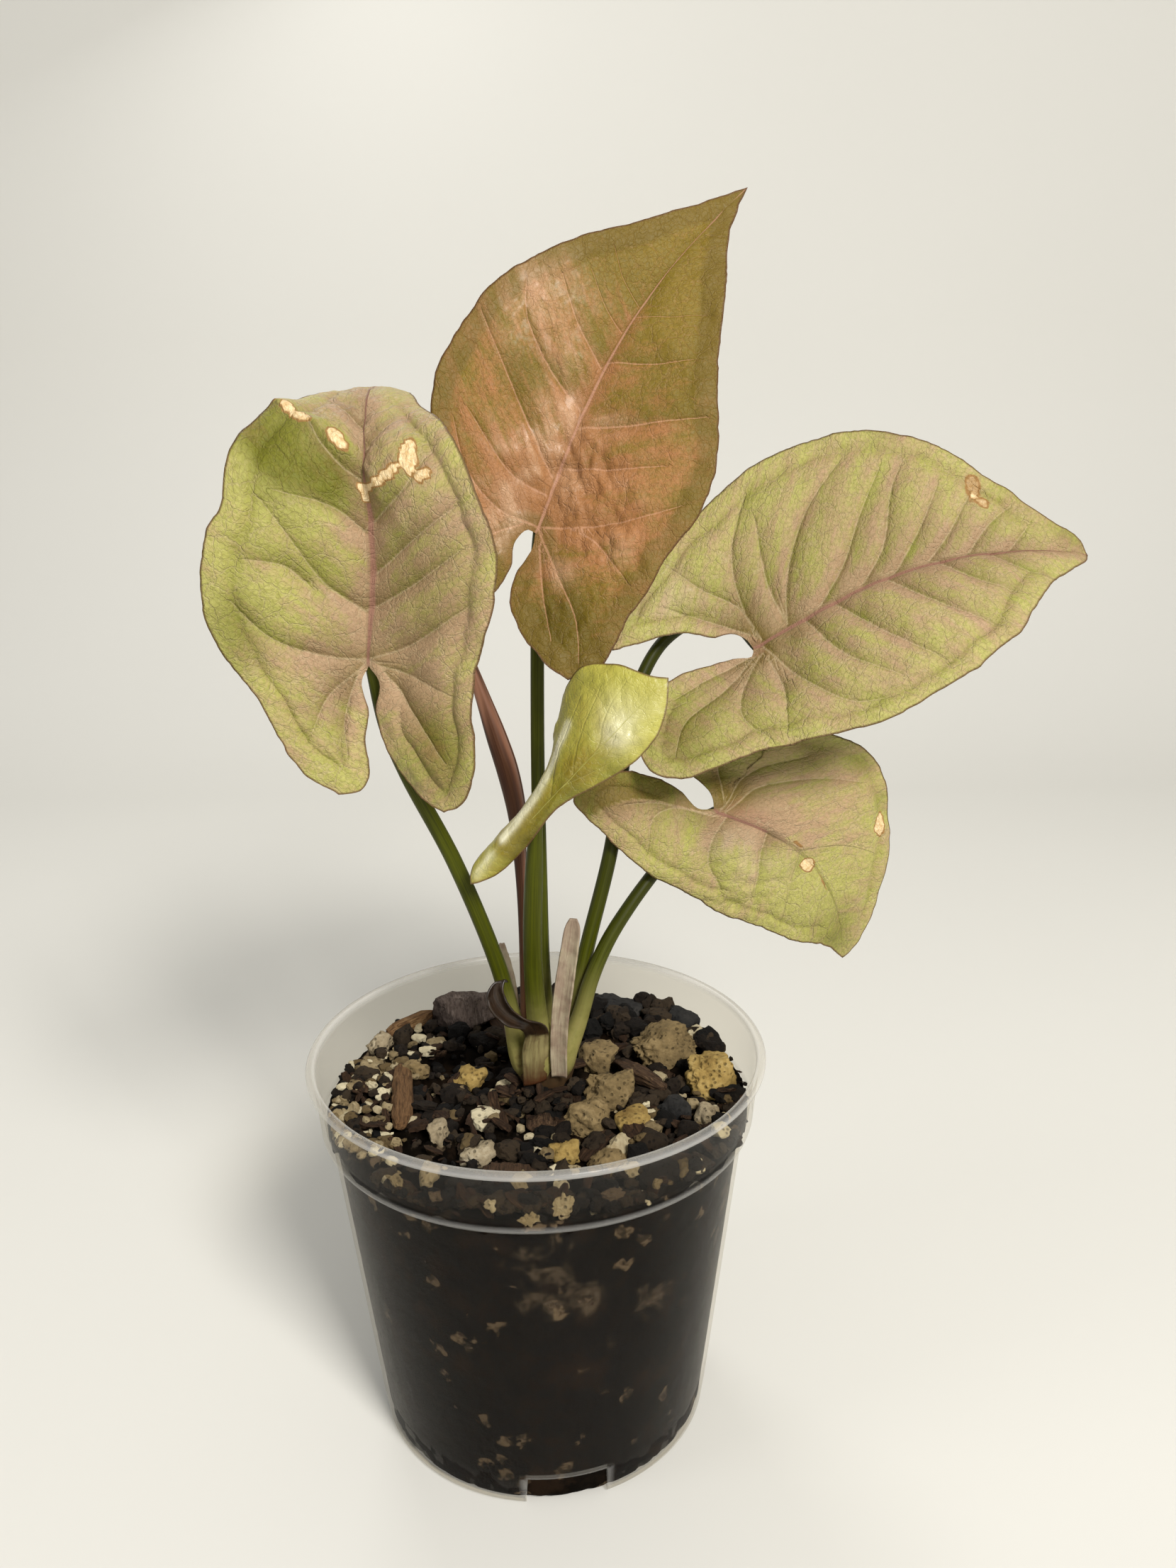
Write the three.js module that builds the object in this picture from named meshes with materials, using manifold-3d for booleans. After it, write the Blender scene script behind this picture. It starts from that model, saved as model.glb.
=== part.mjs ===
// Arrowhead plant (Syngonium) in a clear nursery pot.
// Millimetres, +Z up. The origin is the centre of the pot's underside, on the surface that it stands on.
// The plant faces -Y. A leaf blade is laid out flat in its own (u, v): u runs along the midrib from the
// seat of the petiole towards the tip, v runs across it, and the blade is then bent, folded and curled.

import * as THREE from 'three';
import { mergeVertices } from 'three/addons/utils/BufferGeometryUtils.js';
import Module from 'manifold-3d';

const wasm = await Module();
wasm.setup();

// ---------------------------------------------------------------- driving dimensions

const GAP = 0.3; // between pieces that rest on or in each other
const BLADE = 0.7; // thickness of a leaf blade
const SHEATH = 0.6; // thickness of a leaf sheath
const PETIOLE_TIP = 1.2; // radius of a petiole where it meets its blade

const POT = {
  height: 88,
  lipRadius: 50, // outside of the turned lip
  lipWidth: 2.1,
  lipDepth: 1.5,
  collarTop: 48.6, // outside radius of the collar under the lip
  collarFoot: 47.5, // and at its foot
  collarHeight: 74, // of the collar's foot above the underside
  wallTop: 45.8, // outside radius of the wall under the collar
  base: 37.4, // outside radius at the foot
  wall: 0.8,
  floor: 0.9,
  edge: 0.3, // bevel of the lip
  corner: 1, // bevel round the foot
  notches: 4,
  notchWidth: 18,
  notchHeight: 7.5,
  notchDepth: 7, // from the foot's outside towards the axis
  firstNotch: -81, // degrees round from +X
};
const FACETS = 44; // round the pot and the potting mix

// level: height of the mix over the pot's underside. backRise: how much higher it lies 40 mm further back.
const MIX = { level: 76.5, backRise: 1.8, roughness: 0.7, rings: 6, smallBits: 44 };

// ---------------------------------------------------------------- small helpers

const vec = (p) => new THREE.Vector3(p[0], p[1], p[2]);
const rad = THREE.MathUtils.degToRad;
const lerp = THREE.MathUtils.lerp;

function seeded(seed) {
  let state = seed;
  return () => {
    state = (state * 16807) % 2147483647;
    return state / 2147483647;
  };
}

// Value at x in rows of [x, a, b, ...], straight between rows.
function along(rows, x, column) {
  if (x <= rows[0][0]) return rows[0][column];
  for (let i = 1; i < rows.length; i++) {
    if (x <= rows[i][0]) {
      const t = (x - rows[i - 1][0]) / (rows[i][0] - rows[i - 1][0]);
      return lerp(rows[i - 1][column], rows[i][column], t);
    }
  }
  return rows[rows.length - 1][column];
}

function toGeometry(positions, triangles) {
  const geometry = new THREE.BufferGeometry();
  geometry.setAttribute('position', new THREE.Float32BufferAttribute(positions, 3));
  geometry.setIndex(triangles);
  return geometry;
}

function toSolid(geometry) {
  const bare = geometry.clone();
  bare.deleteAttribute('normal');
  bare.deleteAttribute('uv');
  const merged = mergeVertices(bare, 1e-4);
  const vertProperties = new Float32Array(merged.attributes.position.array);
  const triVerts = new Uint32Array(merged.index.array);
  return new wasm.Manifold(new wasm.Mesh({ numProp: 3, vertProperties, triVerts }));
}

// The largest connected body of a solid, without the loose scraps that a cut leaves.
function fromSolid(solid) {
  const mesh = solid.getMesh();
  const triangles = Array.from(mesh.triVerts);
  const parent = Array.from({ length: mesh.vertProperties.length / 3 }, (_, i) => i);
  const find = (i) => {
    let root = i;
    while (parent[root] !== root) root = parent[root];
    parent[i] = root;
    return root;
  };
  for (let k = 0; k < triangles.length; k += 3) {
    for (const j of [1, 2]) parent[find(triangles[k + j])] = find(triangles[k]);
  }
  const sizes = new Map();
  for (const i of triangles) sizes.set(find(i), (sizes.get(find(i)) ?? 0) + 1);
  const main = [...sizes.keys()].reduce((a, b) => (sizes.get(b) > sizes.get(a) ? b : a));
  const kept = triangles.filter((i) => find(i) === main);
  return mergeVertices(toGeometry(Array.from(mesh.vertProperties), kept), 1e-5);
}

// ---------------------------------------------------------------- sheets and tubes

// Collects the points and triangles of a surface; points at the same place are one vertex.
class Sheet {
  constructor() {
    this.points = [];
    this.keys = new Map();
    this.triangles = [];
  }

  vertex(point) {
    const key = point.toArray().map((x) => Math.round(x * 1e4)).join(',');
    if (!this.keys.has(key)) {
      this.keys.set(key, this.points.length);
      this.points.push(point);
    }
    return this.keys.get(key);
  }

  triangle(a, b, c, flip) {
    if (a === b || b === c || c === a) return;
    this.triangles.push(...(flip ? [a, c, b] : [a, b, c]));
  }

  // rows[i][j] are vertices; flip turns the faces over.
  grid(rows, flip = false) {
    for (let i = 1; i < rows.length; i++) {
      for (let j = 1; j < rows[i].length; j++) {
        const [a, b, c, d] = [rows[i - 1][j - 1], rows[i][j - 1], rows[i][j], rows[i - 1][j]];
        this.triangle(a, b, c, flip);
        this.triangle(a, c, d, flip);
      }
    }
  }

  // A closed plate of the given thickness about this surface, alike on both faces.
  plate(thickness) {
    const count = this.points.length;
    const middle = toGeometry(this.points.flatMap((p) => p.toArray()), this.triangles);
    middle.computeVertexNormals();
    const normal = middle.attributes.normal;
    const positions = [];
    for (const side of [1, -1]) {
      this.points.forEach((p, i) => {
        const n = new THREE.Vector3().fromBufferAttribute(normal, i);
        positions.push(...p.clone().addScaledVector(n, (side * thickness) / 2).toArray());
      });
    }
    const faces = [...this.triangles];
    const open = new Map();
    for (let k = 0; k < this.triangles.length; k += 3) {
      const [a, b, c] = this.triangles.slice(k, k + 3);
      faces.push(a + count, c + count, b + count);
      for (const [p, q] of [[a, b], [b, c], [c, a]]) {
        if (!open.delete(`${q},${p}`)) open.set(`${p},${q}`, [p, q]);
      }
    }
    for (const [p, q] of open.values()) faces.push(q, p, p + count, q, p + count, q + count);
    return toGeometry(positions, faces);
  }
}

// A closed tube along a smooth curve. stations are [x, y, z, radius]; squash thins it front to back.
function tube(stations, { sides = 8, steps = 14, extra = 0, squash = 1 } = {}) {
  const curve = new THREE.CatmullRomCurve3(stations.map(vec));
  const radii = stations.map((s, i) => [i / (stations.length - 1), s[3]]);
  const positions = [];
  for (let i = 0; i <= steps; i++) {
    const t = curve.getUtoTmapping(i / steps);
    const centre = curve.getPoint(t);
    const tangent = curve.getTangent(t);
    const back = new THREE.Vector3(0, 1, 0).addScaledVector(tangent, -tangent.y).normalize();
    const side = new THREE.Vector3().crossVectors(back, tangent);
    const radius = along(radii, t, 1) + extra;
    if (i === 0) centre.addScaledVector(tangent, -extra);
    if (i === steps) centre.addScaledVector(tangent, extra);
    for (let j = 0; j < sides; j++) {
      const turn = (2 * Math.PI * j) / sides;
      const p = centre.clone().addScaledVector(side, radius * Math.cos(turn));
      positions.push(...p.addScaledVector(back, radius * squash * Math.sin(turn)).toArray());
    }
  }
  const triangles = [];
  for (let i = 0; i < steps; i++) {
    for (let j = 0; j < sides; j++) {
      const [a, b] = [i * sides + j, i * sides + ((j + 1) % sides)];
      triangles.push(a, b, b + sides, a, b + sides, a + sides);
    }
  }
  for (let j = 1; j < sides - 1; j++) {
    const last = steps * sides;
    triangles.push(0, j + 1, j, last, last + j, last + j + 1);
  }
  return toGeometry(positions, triangles);
}

// Points evenly spaced by length on a Catmull-Rom curve through flat control points.
function outline(points, count) {
  const curve = new THREE.CatmullRomCurve3(points.map(([u, v]) => new THREE.Vector3(u, v, 0)));
  curve.arcLengthDivisions = 400;
  return curve.getSpacedPoints(count).map((p) => [p.x, p.y]);
}

// ---------------------------------------------------------------- the pot

const wallRadius = (z) => lerp(POT.base, POT.wallTop, z / POT.collarHeight);

function potGeometry() {
  const { height, lipRadius, lipWidth, lipDepth, wall, floor, base, wallTop, edge, corner } = POT;
  const { collarTop, collarFoot, collarHeight } = POT;
  const profile = [
    [0, 0],
    [base - corner, 0],
    [base, corner],
    [wallTop, collarHeight - wall],
    [collarFoot, collarHeight],
    [collarTop, height - lipDepth - edge],
    [lipRadius, height - lipDepth],
    [lipRadius, height - edge],
    [lipRadius - edge, height],
    [lipRadius - lipWidth, height],
    [collarTop - wall, height - lipDepth],
    [collarFoot - wall, collarHeight + wall],
    [wallTop - wall, collarHeight - wall / 2],
    [base - wall, floor + wall],
    [base - 2 * wall, floor],
    [0, floor],
  ].map(([r, z]) => new THREE.Vector2(r, z));
  const shell = new THREE.LatheGeometry(profile, FACETS);
  shell.rotateX(Math.PI / 2);
  let solid = toSolid(shell);
  for (let i = 0; i < POT.notches; i++) {
    const cut = new THREE.BoxGeometry(2 * POT.notchDepth, POT.notchWidth, 2 * POT.notchHeight);
    cut.translate(base, 0, 0);
    cut.rotateZ(rad(POT.firstNotch + (i * 360) / POT.notches));
    solid = solid.subtract(toSolid(cut));
  }
  return fromSolid(solid);
}

// ---------------------------------------------------------------- crown, roots and petioles

// The short stem that the petioles stand on, from deep in the mix up to their feet.
const CROWN = [
  [2.2, 0.2, 56, 2.6],
  [2.2, 0.2, 66, 4.2],
  [2.0, 0.1, 77, 4.9],
  [1.5, 0, 82, 6.2],
  [1.5, 0, 86, 7.4],
];
const CROWN_SQUASH = 0.78;
const ROOTS = [
  [[1, -1, 64, 1.6], [-8, -8, 56, 1.4], [-17, -13, 44, 1.2], [-23, -16, 28, 0.9], [-24, -14, 14, 0.7]],
  [[3, -1, 63, 1.6], [11, -8, 54, 1.4], [19, -15, 42, 1.2], [22, -20, 26, 0.9], [20, -22, 10, 0.7]],
  [[3, 2, 62, 1.6], [10, 10, 52, 1.4], [14, 20, 40, 1.1], [13, 26, 24, 0.9], [8, 28, 9, 0.7]],
  [[1, 2, 61, 1.5], [-7, 9, 50, 1.3], [-14, 18, 37, 1.1], [-18, 24, 22, 0.9], [-16, 24, 9, 0.7]],
];

function crownSolid(extra) {
  let solid = toSolid(tube(CROWN, { sides: 12, steps: 7, extra, squash: CROWN_SQUASH }));
  for (const root of ROOTS) solid = solid.add(toSolid(tube(root, { sides: 5, steps: 6, extra })));
  return solid;
}

// ---------------------------------------------------------------- leaves

// seat: end of the petiole. toward: from the seat to the tip. face: the upper side's direction.
// form rows: u, bend of the midrib, then fold and curl (degrees per mm) of the left and the right half.
// left and right: the margin from the tip round the basal lobe to the seat, as [u, distance out].
const LEAVES = {
  top: {
    seat: [2.9, 0, 199.3],
    toward: [0.53, 0.22, 0.82],
    face: [-0.05, -1, 0.15],
    length: 80,
    sway: -5,
    form: [
      [-40, -12, 14, -0.2, 14, -0.2],
      [0, 4, 14, -0.3, 14, -0.3],
      [40, 0, 12, -0.3, 12, -0.3],
      [90, -20, 10, 0, 10, 0],
    ],
    left: [
      [80, 0], [71, 4], [62, 9], [55, 14], [45, 21], [35, 26], [25, 28], [14, 29], [3, 26], [-8, 22],
      [-17, 18], [-23, 11], [-22, 5], [-16, 1.2], [-9, 0.8], [-5, 2.6], [-1.5, 1.8], [-1.2, 0],
    ],
    right: [
      [80, 0], [74, 2], [67, 5], [59, 10.5], [52, 14.5], [41, 20.5], [34, 25], [26, 28.5], [17, 29],
      [6, 26], [-6, 24.5], [-17, 25], [-23, 21], [-22.5, 16], [-20, 9], [-16, 3.5], [-10, 0.8], [-4, 1],
      [-1.2, 0],
    ],
    petiole: [
      [1.5, 3.1, 86.35, 1.9], [1.5, 2.6, 106, 1.6], [1.4, 3.2, 125.7, 1.5], [1.4, 4, 150.5, 1.45],
      [1.9, 4.2, 177.3, 1.4], [2.3, 3.8, 192, 1.4],
    ],
  },
  left: {
    seat: [-27.3, -25, 178.2],
    toward: [0, -0.03, 1],
    face: [-0.11, -1, 0],
    length: 51,
    sway: 2,
    form: [
      [-40, -10, 20, -0.2, 20, -0.2],
      [0, 4, 20, -0.2, 20, -0.2],
      [30, 0, 20, -0.2, 20, -0.2],
      [38, -42, 14, 0, 14, 0],
      [46, -56, 12, 0, 12, 0],
      [52, -84, 10, 0, 10, 0],
      [68, -165, 10, 0, 10, 0],
    ],
    left: [
      [67, 0], [60, 6], [54, 10], [47, 12.5], [42, 15.5], [35, 20], [30, 22.5], [24, 27], [16, 28.7],
      [8, 28], [0, 23.5], [-7, 19.5], [-16, 16], [-21.5, 12.5], [-25, 7], [-24.5, 3], [-21, 1.2],
      [-15, 1.8], [-10, 0.7], [-4, 1.6], [-1.2, 0],
    ],
    right: [
      [67, 0], [60, 5], [52, 7], [46, 8], [41, 10], [37, 14], [32, 19], [24, 24], [15, 25], [8, 24],
      [0, 21.8], [-9, 21], [-19, 21], [-25.5, 18.5], [-27.5, 14.5], [-25, 9.5], [-18, 4], [-10, 1.2], [-4, 2],
      [-1.2, 0],
    ],
    petiole: [
      [-3.6, -2.2, 86.8, 1.9], [-5.2, -4.6, 97.6, 1.8], [-7.6, -7.5, 110.4, 1.7], [-14.9, -14, 135.6, 1.6],
      [-22.7, -18.6, 155.2, 1.5], [-25.8, -19.8, 164.6, 1.4],
    ],
  },
  right: {
    seat: [48.2, 12, 173.5],
    toward: [0.93, 0, 0.3],
    face: [-0.1, -0.85, 0.5],
    length: 75,
    sway: -6,
    form: [
      [-40, -14, 10, -0.2, 10, -0.2],
      [0, 4, 10, -0.3, 10, -0.3],
      [40, -6, 10, -0.3, 10, -0.3],
      [90, -36, 8, 0, 8, 0],
    ],
    left: [
      [75, 0], [73, 4.5], [68, 7], [62, 12.5], [57, 17], [49, 25], [41, 30], [33, 33], [25, 34.5],
      [12, 35.5], [1, 34], [-10, 29], [-20, 22], [-28, 14], [-30, 8.5], [-24, 8.5], [-15, 8],
      [-9, 5], [-3, 5], [-0.5, 2.6], [-1.2, 0],
    ],
    right: [
      [75, 0], [73.5, 1.8], [69, 4.5], [63, 8], [56, 14.5], [50, 20.5], [45, 23], [39, 26], [29, 28.3],
      [20, 29.3], [10, 27], [2, 24], [-6, 22.8], [-15, 23.2], [-24, 23.6], [-30, 20.5], [-31, 15],
      [-27, 7], [-21, 1.6], [-14, 0.6], [-6, 0.8], [-2, 1.8], [-1.2, 0],
    ],
    petiole: [
      [6.2, 1.7, 86.8, 1.9], [8.6, 2.4, 97, 1.8], [11.1, 3.4, 108.7, 1.7], [16.7, 6.5, 130.8, 1.6],
      [19.6, 11, 149.2, 1.5], [22.6, 17, 163, 1.45], [29, 21.5, 173.5, 1.4], [38, 20.5, 177, 1.35],
      [44.5, 17, 175.6, 1.3],
    ],
  },
  lower: {
    seat: [39.7, 8, 138.2],
    toward: [0.66, 0.15, -0.72],
    face: [0.33, -0.88, 0.3],
    length: 56,
    sway: -8,
    form: [
      [-40, -10, -16, 0, -5, -1.2],
      [0, 0, 14, 0, -5, -1.2],
      [35, -12, 14, 0, -5, -1.2],
      [75, -32, 14, 0, -5, -1.2],
    ],
    left: [
      [56, 0], [55, 5], [51, 10], [46, 14], [41, 18.5], [34, 23], [27, 26.5], [20, 28], [12, 27.5],
      [3, 25], [-7, 22.5], [-15, 19], [-19.5, 13], [-17, 7], [-11, 3], [-4, 2.2], [-1.2, 0],
    ],
    right: [
      [56, 0], [48, 5], [40, 13], [29, 19], [20, 22], [9, 21], [0, 19.6], [-9, 20.6], [-18, 20.5],
      [-24, 21], [-26, 18.5], [-24.5, 12.5], [-21, 7.5], [-15, 4], [-9, 2], [-4, 2.4], [-1.2, 0],
    ],
    petiole: [
      [6.3, -2.7, 87, 1.9], [9.2, -2, 94.3, 1.8], [12.2, -0.4, 103.8, 1.7], [16, 2, 111.6, 1.6],
      [21, 5, 118.6, 1.5], [27, 8.6, 125.6, 1.45], [34, 11.6, 134, 1.4],
    ],
  },
};

// A young leaf, still rolled up: both lobes are wound into one tail, so it has no notch at the seat.
const YOUNG = {
  seat: [2.04, -22, 147.5],
  toward: [0.687, 0, 0.726],
  face: [-0.1, -0.95, 0.3],
  length: 36,
  sway: 0,
  form: [
    [-20, 6, 0, -22, 0, -22],
    [-11, 2, 0, -17, 0, -18],
    [-3, 0, 0, -15, 0, -12],
    [4.5, 0, 0, -11, 0, -7],
    [12, 0, 0, -6.4, 0, -3],
    [19, 0, 0, -4.2, 0, -3],
    [26, -3, 0, -2.2, 0, -3],
    [36, -8, 0, -2, 0, -3],
  ],
  left: [[36, 0], [34, 2.6], [31.2, 8.7], [27, 13.6], [23, 15], [16, 14.4], [9, 12.6], [2, 11], [-5, 9],
    [-12, 6.5], [-17, 4], [-19.3, 0]],
  right: [[36, 0], [34, 2], [31, 4.2], [27, 6], [21, 6.5], [14, 5], [8, 3], [3.7, 2], [-2, 2.4], [-7, 3.4],
    [-13, 3.4], [-17, 2.4], [-19.3, 0]],
  petiole: [
    [1.1, -3.4, 86.9, 2.1], [0.4, -6, 97, 2], [0, -9.5, 110, 2], [0.3, -13, 122, 1.95],
    [1, -16.4, 134, 1.8], [1.5, -18.2, 141, 1.5],
  ],
};

// Turns flat (u, v) into a place in space.
function bladeSurface(leaf) {
  const toward = vec(leaf.toward).normalize();
  const face = vec(leaf.face);
  face.addScaledVector(toward, -face.dot(toward)).normalize();
  const across = new THREE.Vector3().crossVectors(toward, face);
  const reach = 120;
  const path = new Map([[0, [0, 0]]]);
  for (const step of [1, -1]) {
    for (let u = step; Math.abs(u) <= reach; u += step) {
      const [x, z] = path.get(u - step);
      const bend = rad((along(leaf.form, u, 1) + along(leaf.form, u - step, 1)) / 2);
      path.set(u, [x + step * Math.cos(bend), z + step * Math.sin(bend)]);
    }
  }
  return (u, v) => {
    const low = Math.floor(u);
    const [a, b] = [path.get(low), path.get(low + 1)];
    const bend = rad(along(leaf.form, u, 1));
    const column = v < 0 ? 2 : 4;
    const fold = rad(along(leaf.form, u, column));
    const curl = rad(along(leaf.form, u, column + 1));
    const out = Math.abs(v);
    let aside = out * Math.cos(fold);
    let up = out * Math.sin(fold);
    if (Math.abs(curl) > 1e-6) {
      aside = (Math.sin(fold + curl * out) - Math.sin(fold)) / curl;
      up = (Math.cos(fold) - Math.cos(fold + curl * out)) / curl;
    }
    const sway = leaf.sway * Math.sin(Math.PI * THREE.MathUtils.clamp(u / leaf.length, 0, 1));
    return vec(leaf.seat)
      .addScaledVector(toward, lerp(a[0], b[0], u - low) - Math.sin(bend) * up)
      .addScaledVector(face, lerp(a[1], b[1], u - low) + Math.cos(bend) * up)
      .addScaledVector(across, Math.sign(v) * aside + sway);
  };
}

const MAIN = 13; // stations from the tip to the seat
const LOBE = 6; // stations along each side of a basal lobe
const ACROSS = 4; // from the rib out to the margin
const VEIN = 0.34; // where a lobe's vein lies, from its inner margin towards its outer one

// Pairs of [rib point, margin point] of one half of a blade, from the tip round the lobe to the seat.
function bladeStations(margin) {
  const lobeTip = margin.reduce((best, p, i) => (p[0] < margin[best][0] ? i : best), 0);
  const level = margin.findIndex((p) => p[0] < 5); // the margin beside the seat
  const tip = margin[0][0];
  const stations = outline(margin.slice(0, level + 1), MAIN).map((edge, i) => [[tip * (1 - i / MAIN), 0], edge]);
  const outer = outline(margin.slice(level, lobeTip + 1), LOBE);
  const inner = outline(margin.slice(lobeTip), LOBE).reverse();
  const vein = outer.map(([u, v], i) => {
    const t = VEIN * Math.min(1, i / 2);
    return [lerp(inner[i][0], u, t), lerp(inner[i][1], v, t)];
  });
  vein[0] = [0, 0];
  for (let i = 1; i <= LOBE; i++) stations.push([vein[i], outer[i]]);
  for (let i = LOBE - 1; i >= 0; i--) stations.push([vein[i], inner[i]]);
  return stations;
}

function bladeGeometry(leaf) {
  const surface = bladeSurface(leaf);
  const sheet = new Sheet();
  for (const [side, margin] of [[-1, leaf.left], [1, leaf.right]]) {
    const rows = bladeStations(margin).map(([root, edge]) =>
      Array.from({ length: ACROSS + 1 }, (_, j) => {
        const t = j / ACROSS;
        return sheet.vertex(surface(lerp(root[0], edge[0], t), side * lerp(root[1], edge[1], t)));
      }));
    sheet.grid(rows, side < 0);
  }
  return sheet.plate(BLADE);
}

function youngBladeGeometry() {
  const surface = bladeSurface(YOUNG);
  const sheet = new Sheet();
  const count = 18;
  for (const [side, margin] of [[-1, YOUNG.left], [1, YOUNG.right]]) {
    const tail = margin[margin.length - 1][0];
    const rows = outline(margin, count).map((edge, i) => {
      const root = lerp(YOUNG.length, tail, i / count);
      return Array.from({ length: 6 }, (_, j) =>
        sheet.vertex(surface(lerp(root, edge[0], j / 5), (side * edge[1] * j) / 5)));
    });
    sheet.grid(rows, side < 0);
  }
  return sheet.plate(BLADE);
}

// The petiole ends just under the blade, as the blade's back may lean a little over it.
function petioleGeometry(leaf) {
  const lean = 0.25;
  const face = vec(leaf.face);
  const toward = vec(leaf.toward).normalize();
  face.addScaledVector(toward, -face.dot(toward)).normalize();
  const end = vec(leaf.seat).addScaledVector(face, -(BLADE / 2 + GAP + lean + PETIOLE_TIP));
  return tube([...leaf.petiole, [...end.toArray(), PETIOLE_TIP]], { sides: 8, steps: 13 });
}

// ---------------------------------------------------------------- spear and sheaths

const SPEAR = [
  [-2.7, 3.7, 86.35, 1.1], [-2.6, 3.6, 103, 1], [-2.6, 4, 119.6, 1.1], [-2.9, 4.6, 130.5, 1.5],
  [-3.3, 5, 139.7, 2.3], [-5, 5.4, 148.8, 2.8], [-7.2, 6, 156.2, 2.6], [-9.8, 6.4, 164.5, 1.9],
  [-12.6, 7, 173, 1.2], [-15, 7.4, 181, 0.5],
];

// rows: x, y, z of the middle line, width, and how far the edges stand forward of it.
const SHEATHS = {
  sheath_right: {
    side: [1, -0.2, 0],
    rows: [[4.9, -5.9, 83, 3.4, 0.4], [4.9, -6.7, 90, 3.6, 0.6], [5.4, -6.7, 98, 3.8, 0.7],
      [6.5, -6.4, 106, 3.6, 0.6], [7.7, -5.9, 113, 2.8, 0.4], [8.6, -5.5, 119, 1.2, 0.1]],
  },
  sheath_left: {
    side: [1, 0.1, 0],
    rows: [[-7.2, -1.4, 88, 4, -0.4], [-7.2, 0.6, 96, 4.4, -0.6], [-7, 1.6, 102, 3.6, -0.5],
      [-7.2, 1.8, 109, 1.2, -0.1]],
  },
  dried_sheath: {
    side: [1, 0.15, 0.2],
    rows: [[1.4, -8.2, 83.5, 4.4, -0.6], [1.4, -9.2, 89, 4.8, -0.8], [1.2, -10.2, 94, 5, -0.8],
      [-0.6, -11.2, 98, 4.6, -0.6], [-3.4, -12, 101.4, 4, -0.4], [-6, -12.6, 104, 3, -0.2],
      [-8.2, -13, 106, 1.4, 0]],
  },
};

function sheathGeometry({ rows, side }) {
  const sheet = new Sheet();
  const middle = new THREE.CatmullRomCurve3(rows.map(vec));
  const sizes = rows.map((row, i) => [i / (rows.length - 1), row[3], row[4]]);
  const across = vec(side).normalize();
  const front = new THREE.Vector3(0, -1, 0);
  const [steps, columns] = [10, 4];
  const grid = [];
  for (let i = 0; i <= steps; i++) {
    const [width, cup] = [along(sizes, i / steps, 1), along(sizes, i / steps, 2)];
    const centre = middle.getPoint(i / steps);
    grid.push(Array.from({ length: columns + 1 }, (_, j) => {
      const t = (2 * j) / columns - 1;
      const point = centre.clone().addScaledVector(across, (t * width) / 2);
      return sheet.vertex(point.addScaledVector(front, cup * t * t));
    }));
  }
  sheet.grid(grid, true);
  return sheet.plate(SHEATH);
}

// ---------------------------------------------------------------- potting mix

// Loose pieces that lie in the mix: centre, half sizes, turn about Z in degrees, tilt about X.
const PUMICE = [
  { at: [28.7, 14.9, 79], half: [7.6, 6.4, 5.6], turn: 10 },
  { at: [38.4, 2.2, 78.4], half: [5.6, 6.4, 4.8], turn: -30 },
  { at: [13.8, 10.4, 78.6], half: [4.4, 4.6, 4], turn: 25 },
  { at: [15.6, -2.6, 77.6], half: [5.8, 5.4, 4.6], turn: 0 },
  { at: [10.6, -12.6, 76.6], half: [5.2, 4.6, 4.2], turn: 35 },
  { at: [20.4, -14.6, 76], half: [4, 3.6, 3.4], turn: 15 },
  { at: [6.4, -24.6, 76], half: [3.4, 3, 2.8], turn: 5 },
  { at: [15, -27.4, 75.4], half: [4.6, 3.4, 3], turn: 20 },
  { at: [36.4, -11.4, 76.4], half: [2.8, 2.6, 2.6], turn: 0 },
  { at: [-15.4, 2.6, 77], half: [4, 3.2, 3.2], turn: 30 },
  { at: [-11.5, -24.4, 75.8], half: [3.8, 2.8, 2.6], turn: 5 },
  { at: [-20.4, -16.6, 75.8], half: [3, 2.6, 2.6], turn: 60 },
  { at: [-28.6, 7.4, 77.4], half: [3.6, 2.2, 2.2], turn: 0 },
  { at: [-38.2, 19.6, 77.8], half: [3.4, 3, 2.8], turn: 45 },
];
const CHARCOAL = [
  { at: [29.2, -9.6, 76.4], half: [4, 3.4, 3.2], turn: 10 },
  { at: [33.6, 26.4, 78.6], half: [3.8, 4.4, 3.6], turn: 40 },
  { at: [18.6, 33.6, 79.2], half: [6.6, 4.4, 3.6], turn: -15 },
];
const BARK = [
  { at: [-30, -3.4, 76.6], half: [2.5, 13.4, 1.7], turn: 8 },
  { at: [-19.4, 30.4, 79.4], half: [7.4, 5, 3.4], turn: 12, tilt: 34 },
  { at: [22.6, 2.8, 78.4], half: [2, 8.6, 1.6], turn: 42 },
  { at: [1.2, -14.2, 76.2], half: [3.4, 2.4, 2.2], turn: 4 },
  { at: [-4.6, -31, 75.6], half: [5.6, 2.6, 1.8], turn: 0 },
  { at: [-32, 26.6, 79.6], half: [1.9, 8, 1.6], turn: -37, tilt: -4 },
];

function mixHeight(x, y) {
  const rough = Math.sin(x * 0.31 + 1.3) * Math.cos(y * 0.27 + 0.4) + 0.5 * Math.sin(x * 0.11 - y * 0.52);
  return MIX.level + MIX.roughness * rough + (MIX.backRise * THREE.MathUtils.clamp(y, -20, 40)) / 40;
}

// An angular lump: an icosahedron's points pushed in and out by a seeded amount.
function lump(half, seed, { detail = 1, rough = 0.16, extra = 0 } = {}) {
  const random = seeded(seed);
  const shape = new THREE.IcosahedronGeometry(1, detail);
  shape.deleteAttribute('normal');
  shape.deleteAttribute('uv');
  const merged = mergeVertices(shape, 1e-4);
  const place = merged.attributes.position;
  for (let i = 0; i < place.count; i++) {
    const p = new THREE.Vector3().fromBufferAttribute(place, i);
    const push = 1 - rough * random();
    const [a, b, c] = half.map((h) => h * push + extra);
    place.setXYZ(i, p.x * a, p.y * b, p.z * c);
  }
  return merged;
}

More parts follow.
